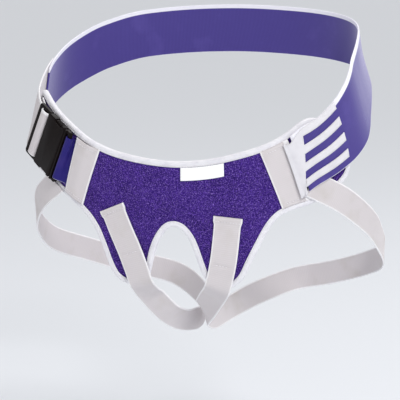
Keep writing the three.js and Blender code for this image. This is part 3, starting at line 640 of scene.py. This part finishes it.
velourValues = {
    **plainShading,
    "dark": (0.017, 0.006, 0.088),
    "middle": (0.037, 0.014, 0.165),
    "tuft": (0.104, 0.046, 0.35),
    "light": (0.4, 0.25, 0.78),
    "roughness": 0.95,
    "specular": 0.06,
    "sheen": 0.3,
    "sheenTint": (0.42, 0.25, 0.95),
    "fineScale": 1250.0,
    "broadScale": 60.0,
    "tuftScale": 2600.0,
    "tuftBroadScale": 820.0,
    "broadSpan": (0.3, 0.7),
    "tuftSpan": (0.48, 0.66),
    "speckSpan": (0.55, 0.74),
    "bump": 0.4,
    "bumpDepth": 0.6 * mm,
}


def velourMaterial(values):
    material, tree, shader = newMaterial("velour", values)
    nap = placeNap(tree, values["fineScale"], values["broadScale"])
    tufts = placeNap(tree, values["tuftScale"], values["tuftBroadScale"])
    broad = levels(tree, nap.outputs["Broad"], values["broadSpan"])
    tufted = levels(tree, tufts.outputs["Broad"], values["tuftSpan"])
    speck = levels(tree, nap.outputs["Fibre"], values["speckSpan"])
    body = mixColors(tree, broad, values["dark"], values["middle"])
    body = mixColors(tree, tufted, body, values["tuft"])
    color = mixColors(tree, speck, body, values["light"])
    tree.links.new(color, shader.inputs["Base Color"])
    bumpTo(tree, shader, nap.outputs["Height"], values)
    return material


webbingValues = {
    **plainShading,
    "body": (0.66, 0.62, 0.63),
    "rib": (0.53, 0.49, 0.51),
    "edge": (0.86, 0.845, 0.86),
    "stain": (0.57, 0.53, 0.51),
    "width": 25 * mm,
    "ribPitch": 1.9 * mm,
    "warpPitch": 1.0 * mm,
    "edgeWidth": 1.1 * mm,
    "ribDepth": 0.2,
    "bump": 0.3,
    "bumpDepth": 0.1 * mm,
    "wearScale": 35.0,
    "wearSpan": (0.55, 0.8),
    "roughness": 0.8,
    "specular": 0.25,
    "sheen": 0.15,
}


def wovenMaterial(name, values):
    material, tree, shader = newMaterial(name, values)
    threads = {
        "Rib Pitch": values["ribPitch"],
        "Warp Pitch": values["warpPitch"],
        "Strip Width": values["width"],
        "Edge Width": values["edgeWidth"],
    }
    weave = placeGroup(tree, "weave", threads)
    tree.links.new(clothUv(tree), weave.inputs["UV"])
    wear = placeGroup(tree, "wear", {"Scale": values["wearScale"]})
    tree.links.new(objectVector(tree), wear.inputs["Vector"])
    ribs = mathNode(tree, "MULTIPLY", weave.outputs["Rib"], values["ribDepth"])
    worn = levels(tree, wear.outputs["Shade"], values["wearSpan"])
    color = mixColors(tree, ribs, values["body"], values["rib"])
    color = mixColors(tree, worn, color, values["stain"])
    color = mixColors(tree, weave.outputs["Edge"], color, values["edge"])
    tree.links.new(color, shader.inputs["Base Color"])
    bumpTo(tree, shader, weave.outputs["Height"], values)
    return material


tapeValues = {
    **plainShading,
    "light": (0.8, 0.79, 0.825),
    "shade": (0.64, 0.62, 0.69),
    "fineScale": 1600.0,
    "broadScale": 90.0,
    "shadeSpan": (0.45, 0.9),
    "bump": 0.15,
    "bumpDepth": 0.2 * mm,
    "roughness": 0.75,
    "specular": 0.25,
    "sheen": 0.2,
}


def tapeMaterial(name, values):
    material, tree, shader = newMaterial(name, values)
    nap = placeNap(tree, values["fineScale"], values["broadScale"])
    shaded = levels(tree, nap.outputs["Broad"], values["shadeSpan"])
    color = mixColors(tree, shaded, values["light"], values["shade"])
    tree.links.new(color, shader.inputs["Base Color"])
    bumpTo(tree, shader, nap.outputs["Height"], values)
    return material


plasticValues = {
    **plainShading,
    "base": (0.0062, 0.0036, 0.0036),
    "scuff": (0.012, 0.0082, 0.0078),
    "fineScale": 2200.0,
    "broadScale": 130.0,
    "scuffSpan": (0.5, 0.95),
    "bump": 0.06,
    "bumpDepth": 0.1 * mm,
    "roughness": 0.38,
    "leastRoughness": 0.28,
    "roughnessChange": 0.22,
    "specular": 0.1,
}


def plasticMaterial(values):
    material, tree, shader = newMaterial("black plastic", values)
    nap = placeNap(tree, values["fineScale"], values["broadScale"])
    worn = levels(tree, nap.outputs["Broad"], values["scuffSpan"])
    tree.links.new(mixColors(tree, worn, values["base"], values["scuff"]), shader.inputs["Base Color"])
    least, change = values["leastRoughness"], values["roughnessChange"]
    rough = mathNode(tree, "MULTIPLY_ADD", nap.outputs["Fibre"], change, least)
    tree.links.new(rough, shader.inputs["Roughness"])
    bumpTo(tree, shader, nap.outputs["Fibre"], values)
    return material


elasticValues = {
    **webbingValues,
    "body": (0.072, 0.052, 0.27),
    "rib": (0.046, 0.03, 0.2),
    "edge": (0.86, 0.85, 0.92),
    "stain": (0.09, 0.066, 0.31),
    "width": 50 * mm,
    "ribPitch": 1.5 * mm,
    "warpPitch": 0.8 * mm,
    "edgeWidth": 0.5 * mm,
    "ribDepth": 0.6,
    "roughness": 0.6,
    "sheen": 0.85,
    "sheenTint": (0.85, 0.84, 1.0),
}
loopElasticValues = {
    **webbingValues,
    "body": (0.016, 0.009, 0.165),
    "rib": (0.009, 0.0055, 0.115),
    "edge": (0.62, 0.6, 0.76),
    "stain": (0.035, 0.02, 0.18),
    "width": 47 * mm,
    "ribPitch": 1.2 * mm,
    "warpPitch": 0.7 * mm,
    "edgeWidth": 0.45 * mm,
    "ribDepth": 0.4,
    "roughness": 0.6,
    "sheen": 0.2,
    "sheenTint": (0.5, 0.45, 1.0),
}
satinValues = {**tapeValues, "light": (0.98, 0.98, 0.98), "shade": (0.94, 0.94, 0.95)}
combTapeValues = {**tapeValues, "light": (0.74, 0.725, 0.76), "shade": (0.65, 0.635, 0.67)}
sewingValues = {**tapeValues, "light": (0.8, 0.78, 0.8), "shade": (0.6, 0.57, 0.62)}

velour = velourMaterial(velourValues)
webbing = wovenMaterial("strap webbing", webbingValues)
wideWebbing = wovenMaterial("belt webbing", {**webbingValues, "width": 50 * mm})
bandWebbing = wovenMaterial("band webbing", {**webbingValues, "bump": 0.15, "ribDepth": 0.1})
elastic = wovenMaterial("belt elastic", elasticValues)
loopElastic = wovenMaterial("loop elastic", loopElasticValues)
tape = tapeMaterial("binding tape", tapeValues)
satin = tapeMaterial("label satin", satinValues)
combTape = tapeMaterial("comb tape", combTapeValues)
thread = tapeMaterial("sewing thread", sewingValues)
plastic = plasticMaterial(plasticValues)
print("materials made:", len(bpy.data.materials))


# Front panel: the solid's own surface, refined, with a padded crown that draws in at its seams

panelValues = {
    "thickness": 3 * mm,
    "edgeStep": 1.4 * mm,
    "rimTolerance": 0.2 * mm,  # an edge through the cloth is this near to the thickness
    "rimFacing": 0.7,  # and looks this much outward or inward
    "levels": 3,
    "crown": 1.1 * mm,  # how far the foam stands proud in the middle of a field
    "seamWidth": 5.5 * mm,  # the binding covers this much
    "crownReach": 15 * mm,  # from a seam or a strap to where the crown is full
    "pressed": 3 * mm,  # the foam stays flat this far beside a strap
    "rumple": 0.4 * mm,
    "rumpleScale": 26.0,
    "fineRumple": (0.5, 2.3),  # share of the rumple, and how much finer it is
    "facing": 0.3,  # only faces that look this much outward move
    "fill": 0.4,
}


refineValues = {
    "joinFaces": math.radians(25),  # triangles become quads up to this angle between them
    "joinShape": math.radians(80),  # and up to this much out of square
    "keepSharp": math.radians(50),
}


def creaseSharp(shape, sharp):
    layer = shape.edges.layers.float.get("crease_edge") or shape.edges.layers.float.new("crease_edge")
    for edge in shape.edges:
        if len(edge.link_faces) == 2 and edge.calc_face_angle(0) > sharp:
            edge[layer] = 1.0


def refinedCopy(name, node, subdivisions, values=refineValues):
    shape = mergedCopy(node)
    bmesh.ops.join_triangles(
        shape,
        faces=shape.faces,
        angle_face_threshold=values["joinFaces"],
        angle_shape_threshold=values["joinShape"],
    )
    creaseSharp(shape, values["keepSharp"])
    piece = pieceFromShape(name, shape)
    piece.data.shade_smooth()
    finer = piece.modifiers.new("finer", "SUBSURF")
    finer.levels = finer.render_levels = subdivisions
    selectOnly(piece)
    bpy.ops.object.modifier_apply(modifier="finer")
    return piece


# Faces of the panel's rim, which have an edge straight through the cloth, and the outer points there
def rimOf(shape, values):
    rim, front = set(), set()
    for edge in shape.edges:
        way = edge.verts[1].co - edge.verts[0].co
        outward = Vector((edge.verts[0].co.x, edge.verts[0].co.y, 0)).normalized()
        facing = way.normalized().dot(outward)
        near = abs(way.length - values["thickness"]) < values["rimTolerance"]
        if near and abs(facing) > values["rimFacing"]:
            rim.update(edge.link_faces)
            front.add(edge.verts[1] if facing > 0 else edge.verts[0])
    return rim, front


# Edge of the panel's front face as a closed line, with the face's normals there
def edgeLoop(node, values):
    shape = mergedCopy(node)
    rim, front = rimOf(shape, values)
    beside = {}
    for edge in shape.edges:
        onRim = sum(face in rim for face in edge.link_faces)
        if onRim == 1 and edge.verts[0] in front and edge.verts[1] in front:
            for v in edge.verts:
                beside.setdefault(v, []).append(edge.other_vert(v))
    start = min(beside, key=lambda v: (v.co.x, v.co.z))
    line, before, here = [], None, start
    while here is not start or not line:
        line.append(here)
        onward = [v for v in beside[here] if v is not before]
        before, here = here, onward[0]
    points = np.array([v.co for v in line])
    normals = []
    for v in line:
        faces = [face for face in v.link_faces if face not in rim]
        normals.append(sum((face.normal * face.calc_area() for face in faces), Vector()).normalized())
    normals = np.array(normals)
    shape.free()
    print("panel edge:", len(points), "points")
    sideways = np.cross(normals, np.roll(points, -1, axis=0) - np.roll(points, 1, axis=0))
    if np.sum(sideways * (points - points.mean(axis=0))) > 0:
        points, normals = points[::-1].copy(), normals[::-1].copy()
    return points, normals


# The closed line, finer, with the direction into the face at each place
def fineLoop(points, normals, spacing):
    around = 6
    wrapped = np.concatenate([points[-around:], points, points[: around + 1]])
    wrappedNormals = np.concatenate([normals[-around:], normals, normals[: around + 1]])
    knots = lengthsAlong(wrapped)
    start, end = knots[around], knots[around + len(points)]
    places = np.linspace(start, end, int((end - start) / spacing) + 1)[:-1]
    line = through(knots, wrapped, places)
    up = unit(through(knots, wrappedNormals, places))
    travel = unit(np.roll(line, -1, axis=0) - np.roll(line, 1, axis=0))
    inward = unit(np.cross(up, travel))
    return line, up, inward


panelEdge = fineLoop(*edgeLoop("front_panel", panelValues), panelValues["edgeStep"])

# Binding: folded tape round the panel, as a closed section carried round the edge

bindingValues = {
    # distance in from the panel's edge and height over its front face, in mm
    "section": (
        (4.7, 0.6),
        (4.55, 0.98),
        (4.0, 1.16),
        (3.2, 1.2),
        (2.1, 1.46),
        (0.9, 1.48),
        (-0.2, 1.1),
        (-0.8, 0.4),
        (-1.08, -0.5),
        (-1.1, -1.5),
        (-0.92, -2.5),
        (-0.45, -3.2),
        (0.4, -3.7),
        (1.8, -3.95),
        (4.3, -3.95),
        (4.5, -3.55),
        (1.2, -3.35),
        (0.1, -3.02),
        (-0.3, -1.6),
        (-0.1, 0.1),
        (0.9, 0.36),
        (4.5, 0.38),
    ),
    "seam": 3.5 * mm,
    "seamLift": 1.14 * mm,
    "pucker": 0.12 * mm,
    "puckerPitch": 2.7 * mm,
    "puckerMiddle": 3.3,
    "puckerReach": 1.1,
}


def addBinding(values):
    line, up, inward = panelEdge
    sides = len(values["section"])
    count = len(line)
    places = lengthsAlong(closed(line))[:-1]
    pucker = values["pucker"] * np.cos(2 * math.pi * places / values["puckerPitch"])
    points, uvs = [], []
    for k in range(count):
        for inset, lift in values["section"]:
            nearSeam = dip(inset - values["puckerMiddle"], values["puckerReach"]) * (lift > 0.5)
            raised = lift * mm + pucker[k] * nearSeam
            points.append(line[k] + inward[k] * inset * mm + up[k] * raised)
            uvs.append((inset * mm, places[k]))
    faces = []
    for k in range(count):
        for side in range(sides):
            a, b = k * sides + side, k * sides + (side + 1) % sides
            c, d = ((k + 1) % count) * sides + (side + 1) % sides, ((k + 1) % count) * sides + side
            faces.append((a, b, c, d))
    piece = newPiece("edge_tape", points, faces, uvs)
    finishPiece(piece, "binding", tape, "edge_binding")
    seam = line + inward * values["seam"] + up * values["seamLift"]
    stitches = stitchRow("edge_tape_stitches", closed(seam), closed(up))
    finishPiece(stitches, "binding", thread)


addBinding(bindingValues)


# Webbing, elastic and label

strapValues = {
    "thickness": 1.3 * mm,
    "edgeRound": 0.7 * mm,
    "selvedge": 0.12 * mm,
    "step": 1.0 * mm,
    "columns": 11,
    "hem": 6.2 * mm,  # the turned end, which is thicker and a little wider
    "hemRise": 0.6 * mm,
    "hemSoftness": 0.3 * mm,
    "hemSpread": 1.1 * mm,
    "spreadSoftness": 0.7 * mm,
    "stitchIn": 4.8 * mm,
    "stitchShares": (0.04, 0.96),
    "groove": 0.4 * mm,
    "grooveWidth": 0.8 * mm,
    "secondRow": 47 * mm,
    "crease": 0.5 * mm,
    "creaseWidth": 1.3 * mm,
    "creaseSpan": (0.3, 0.78),  # shares of the width that the short second row crosses
    "creaseSoftness": 0.05,
    "ripple": 0.14 * mm,
    "rippleScale": (60.0, 0.8),  # along the strap in metres, and in shares of its width
}


def strapLift(values):
    def lift(places, shares, length):
        fromEnd = (length - places)[:, None]
        first, last = values["creaseSpan"]
        hem = softStep(values["hem"] - fromEnd, values["hemSoftness"])
        crease = dip(fromEnd - values["secondRow"], values["creaseWidth"])
        crease = crease * softStep((shares - first)[None, :], values["creaseSoftness"])
        crease = crease * softStep((last - shares)[None, :], values["creaseSoftness"])
        groove = dip(fromEnd - values["stitchIn"], values["grooveWidth"])
        along, across = values["rippleScale"]
        rows = [[(place * along, share * across, 0) for share in shares] for place in places]
        ripple = values["ripple"] * np.array([[noise.noise(Vector(p)) for p in row] for row in rows])
        outer = values["hemRise"] * hem - values["groove"] * groove - values["crease"] * crease
        return outer + ripple, ripple

    return lift


def strapSpread(values):
    def spread(places, shares, length):
        flare = softStep(values["hem"] - (length - places), values["spreadSoftness"])
        return (flare * values["hemSpread"])[:, None] * (2 * shares - 1)[None, :]

    return spread


def addLegStraps(values):
    for side in ("left", "right"):
        read = readStrip(f"{side}_leg_strap", (0, 0, 1), 1)
        look = {**values, "lift": strapLift(values), "spread": strapSpread(values)}
        piece, surface = weaveStrip(f"{side}_leg_webbing", read, look)
        finishPiece(piece, "webbing", webbing, f"{side}_leg_strap")
        rows = []
        for fromEnd, span in (("stitchIn", "stitchShares"), ("secondRow", "creaseSpan")):
            place = surface["length"] - values[fromEnd]
            rows.append((place, values[span][0], place, values[span][1]))
        stitches = stripStitches(f"{side}_leg_stitches", surface, rows)
        finishPiece(stitches, "webbing", thread)


addLegStraps(strapValues)

beltValues = {
    "thickness": 1.5 * mm,
    "edgeRound": 0.7 * mm,
    "selvedge": 0.05 * mm,
    "step": 2.2 * mm,
    "columns": 17,
}


def addBelt(values):
    piece, surface = weaveStrip("belt_elastic", readStrip("back_belt", (1, -1, 0), 2), values)
    finishPiece(piece, "elastic", elastic, "back_belt")


addBelt(beltValues)

wideValues = {
    **beltValues,
    "thickness": 1.3 * mm,
    "selvedge": 0.12 * mm,
    "step": 1.0 * mm,
    "join": (2.5 * mm, 13 * mm),  # the box of stitches that joins it to the elastic
    "stitchShares": (0.04, 0.96),
}


def addBeltWebbing(values):
    piece, surface = weaveStrip("belt_webbing_end", readStrip("belt_webbing", (0, 0, 1), 2), values)
    finishPiece(piece, "webbing", wideWebbing, "belt_webbing")
    near, far = values["join"]
    low, high = values["stitchShares"]
    rows = [
        (near, low, near, high),
        (far, low, far, high),
        (near, low, far, high),
        (near, high, far, low),
    ]
    finishPiece(stripStitches("belt_webbing_stitches", surface, rows), "webbing", thread)


addBeltWebbing(wideValues)

loopValues = {**beltValues, "thickness": 1.0 * mm, "selvedge": 0.04 * mm, "step": 0.9 * mm}


def addLoop(values):
    read = readStrip("buckle_loop", (0.5, -0.6, -1), 2)
    piece, surface = weaveStrip("buckle_loop_elastic", read, values)
    finishPiece(piece, "loop", loopElastic, "buckle_loop")


addLoop(loopValues)

bandValues = {
    "thickness": 1.3 * mm,
    "edgeRound": 0.7 * mm,
    "selvedge": 0.15 * mm,
    "step": 1.5 * mm,
    "columns": 9,
    "stitchIn": 3.8 * mm,
    "stitchShares": (0.06, 0.94),
    "tuck": 2.0 * mm,  # how far the ends are carried on, under the binding
}


def addBands(values):
    for side in ("left", "right"):
        read = lengthened(readStrip(f"{side}_band", (0, 0, 1), 4), values["tuck"])
        piece, surface = weaveStrip(f"{side}_band_webbing", read, values)
        finishPiece(piece, "webbing", bandWebbing, f"{side}_band")
        first, last = values["stitchShares"]
        ends = (values["stitchIn"], surface["length"] - values["stitchIn"])
        rows = [(place, first, place, last) for place in ends]
        finishPiece(stripStitches(f"{side}_band_stitches", surface, rows), "webbing", thread)


addBands(bandValues)

labelValues = {
    "thickness": 0.8 * mm,
    "edgeRound": 0.3 * mm,
    "selvedge": 0.0,
    "step": 1.0 * mm,
    "columns": 6,
    "tuck": 0.8 * mm,
}


def addLabel(values):
    middle, rise = readStrip("blank_label", (1, 0, 0), 1)
    top = int(middle[0, 1, 2] > middle[0, 0, 2])
    middle[:, top] += unit(middle[:, top] - middle[:, 1 - top]) * values["tuck"]
    piece, surface = weaveStrip("label_blank", (middle, rise), values)
    finishPiece(piece, "label", satin, "blank_label")


addLabel(labelValues)


combValues = {"levels": 2}


def addComb(values):
    piece = refinedCopy("comb_tape", "belt_end_comb", values["levels"])
    finishPiece(piece, "print", combTape, "belt_end_comb")


addComb(combValues)


# The foam rises between its seams and beside the straps, on its outer face
def addPanel(values, strips):
    piece = refinedCopy("velour_panel", "front_panel", values["levels"])
    mesh = piece.data
    count = len(mesh.vertices)
    co, normals = np.zeros(count * 3), np.zeros(count * 3)
    mesh.vertices.foreach_get("co", co)
    mesh.vertices.foreach_get("normal", normals)
    co, normals = co.reshape(-1, 3), normals.reshape(-1, 3)
    fromSeam = rising(distances(co, panelEdge[0][::3]) - values["seamWidth"], values["crownReach"])
    fromStraps = rising(distances(co, strips) - values["pressed"], values["crownReach"])
    facing = (normals[:, :2] * unit(co[:, :2])).sum(axis=1)
    free = fromSeam * fromStraps * (facing > values["facing"])
    scaled = [Vector(p) * values["rumpleScale"] for p in co]
    share, finer = values["fineRumple"]
    rumple = np.array([noise.noise(p) + share * noise.noise(p * finer) for p in scaled])
    co += normals * ((values["crown"] + values["rumple"] * rumple) * free)[:, None]
    mesh.vertices.foreach_set("co", co.ravel())
    mesh.update()
    finishPiece(piece, "velour", velour, "front_panel")


addPanel(panelValues, np.concatenate(pressing))
print("cloth made")


# Buckle: the two mouldings with their edges broken, and the release prongs in the side recesses

buckleValues = {
    "shortest": 0.22 * mm,  # edges below this are collapsed before the bevel
    "edgeBreak": 0.3 * mm,
    "flatAngle": math.radians(1),
    "sharpAngle": math.radians(40),
    "smoothAngle": math.radians(50),
    "prong": (11.4 * mm, 2.0 * mm, 4.4 * mm),  # along the buckle, across it and through it
    "prongFromFront": 4.8 * mm,
    "prongInset": 0.5 * mm,  # below the side of the moulding
    "prongRound": 0.8 * mm,
    "ribs": 5,
    "rib": (0.7 * mm, 0.9 * mm, 3.4 * mm),
    "ribRound": 0.28 * mm,
    "ribPitch": 1.7 * mm,
}


def addMoulding(name, node, values):
    piece = pieceFromShape(name, mergedCopy(node))
    selectOnly(piece)
    bpy.ops.object.mode_set(mode="EDIT")
    bpy.ops.mesh.select_all(action="SELECT")
    bpy.ops.mesh.dissolve_degenerate(threshold=values["shortest"])
    bpy.ops.mesh.select_all(action="SELECT")
    bpy.ops.mesh.dissolve_limited(angle_limit=values["flatAngle"])
    bpy.ops.mesh.select_mode(type="EDGE")
    bpy.ops.mesh.select_all(action="DESELECT")
    bpy.ops.mesh.edges_select_sharp(sharpness=values["sharpAngle"])
    bpy.ops.mesh.bevel(offset=values["edgeBreak"], segments=2, affect="EDGES", clamp_overlap=True)
    bpy.ops.mesh.select_all(action="SELECT")
    bpy.ops.mesh.quads_convert_to_tris()
    bpy.ops.object.mode_set(mode="OBJECT")
    bpy.ops.object.shade_smooth_by_angle(angle=values["smoothAngle"])
    finishPiece(piece, "buckle", plastic, node)


# The housing's own frame: x to the front, y up across the belt and z out, with its box in it
def buckleFrame():
    shape = mergedCopy("buckle_housing")
    corners = np.array([v.co for v in shape.verts])
    flats = smoothRegions(shape, 4)[-6:]  # the six largest
    centre = corners.mean(axis=0)
    out = Vector((centre[0], centre[1], 0)).normalized()
    top = max(flats, key=lambda region: region[0].normal.dot(out) * areaOf(region))
    z = np.array(top[0].normal)
    shape.free()
    flat = (corners - centre) - np.outer((corners - centre) @ z, z)
    y = np.linalg.svd(flat, full_matrices=False)[2][0]  # the longest way across its face
    y = y if y[2] > 0 else -y
    x = np.cross(y, z)
    axes = np.stack([x, y, z])
    local = corners @ axes.T
    return axes, local.min(axis=0), local.max(axis=0)


# From the buckle's own frame into the part's
def outOfBuckle(piece, axes):
    matrix = Matrix.Identity(4)
    for row in range(3):
        for column in range(3):
            matrix[row][column] = axes[column][row]
    piece.data.transform(matrix)


def roundedBlock(name, size, middle, radius):
    bpy.ops.object.select_all(action="DESELECT")
    bpy.ops.mesh.primitive_cube_add(size=1)
    piece = bpy.context.object
    piece.name = name
    bpy.ops.object.mode_set(mode="EDIT")
    bpy.ops.mesh.select_all(action="SELECT")
    bpy.ops.transform.resize(value=size)
    bpy.ops.mesh.bevel(offset=radius, segments=3, affect="EDGES")
    bpy.ops.transform.translate(value=middle)
    bpy.ops.object.mode_set(mode="OBJECT")
    bpy.ops.object.shade_smooth_by_angle(angle=buckleValues["smoothAngle"])
    return piece


def addProngs(values):
    axes, low, high = buckleFrame()
    length, depth, _ = values["prong"]
    along = high[0] - values["prongFromFront"] - length / 2
    through = (low[2] + high[2]) / 2
    for side, edge, inward in (("upper", high[1], -1), ("lower", low[1], 1)):
        across = edge + inward * (values["prongInset"] + depth / 2)
        middle = (along, across, through)
        blocks = [roundedBlock(f"{side}_prong", values["prong"], middle, values["prongRound"])]
        outer = across - inward * depth / 2
        for k in range(values["ribs"]):
            at = along + (k - (values["ribs"] - 1) / 2) * values["ribPitch"]
            middle = (at, outer, through)
            blocks.append(roundedBlock(f"{side}_rib", values["rib"], middle, values["ribRound"]))
        prong = joined(f"{side}_prong", blocks)
        outOfBuckle(prong, axes)
        finishPiece(prong, "buckle", plastic)


addMoulding("housing_moulding", "buckle_housing", buckleValues)
addMoulding("tongue_moulding", "buckle_tongue", buckleValues)
addProngs(buckleValues)
print("buckle made")


# Floor and soft light

stageValues = {
    "floorBelow": 0.2,
    "floorSize": 120,
    "floorColor": (0.73, 0.75, 0.79),
    "worldColor": (1.0, 1.0, 1.0),
    "worldStrength": 0.58,
}


def addStage(values):
    low = cadBox[0].z - values["floorBelow"]
    bpy.ops.mesh.primitive_plane_add(size=values["floorSize"], location=(0, 0, low))
    floor = bpy.context.object
    floor.name = "floor"
    material, tree, shader = newMaterial("pale floor", plainShading)
    shader.inputs["Base Color"].default_value = (*values["floorColor"], 1)
    floor.data.materials.append(material)
    world = bpy.data.worlds.new("soft studio")
    world.use_nodes = True
    world.node_tree.nodes["Background"].inputs["Color"].default_value = (*values["worldColor"], 1)
    world.node_tree.nodes["Background"].inputs["Strength"].default_value = values["worldStrength"]
    bpy.context.scene.world = world


lightValues = (
    {"name": "key", "at": (1.3, -1.8, 1.5), "size": 0.6, "power": 32},
    {"name": "fill", "at": (-1.9, -1.5, 0.8), "size": 1.5, "power": 4},
    {"name": "back", "at": (1.5, 1.4, 1.2), "size": 1.2, "power": 10},
)

# Broad light from high behind, which whitens the floor
highLight = {"at": (0.5, 2.0, 3.0), "strength": 1.0, "spread": 35}


def addHighLight(values):
    bpy.ops.object.light_add(type="SUN", location=values["at"])
    light = bpy.context.object
    light.name = "high"
    light.data.energy = values["strength"]
    light.data.angle = math.radians(values["spread"])
    light.rotation_euler = (-Vector(values["at"])).to_track_quat("-Z", "Y").to_euler()


def addLights(rows):
    for row in rows:
        bpy.ops.object.light_add(type="AREA", location=row["at"])
        light = bpy.context.object
        light.name = row["name"]
        light.data.shape = "DISK"
        light.data.size = row["size"]
        light.data.energy = row["power"]
        light.rotation_euler = (-Vector(row["at"])).to_track_quat("-Z", "Y").to_euler()


addStage(stageValues)
addLights(lightValues)
addHighLight(highLight)
bpy.context.scene.view_settings.view_transform = "Standard"
print("stage and lights set")
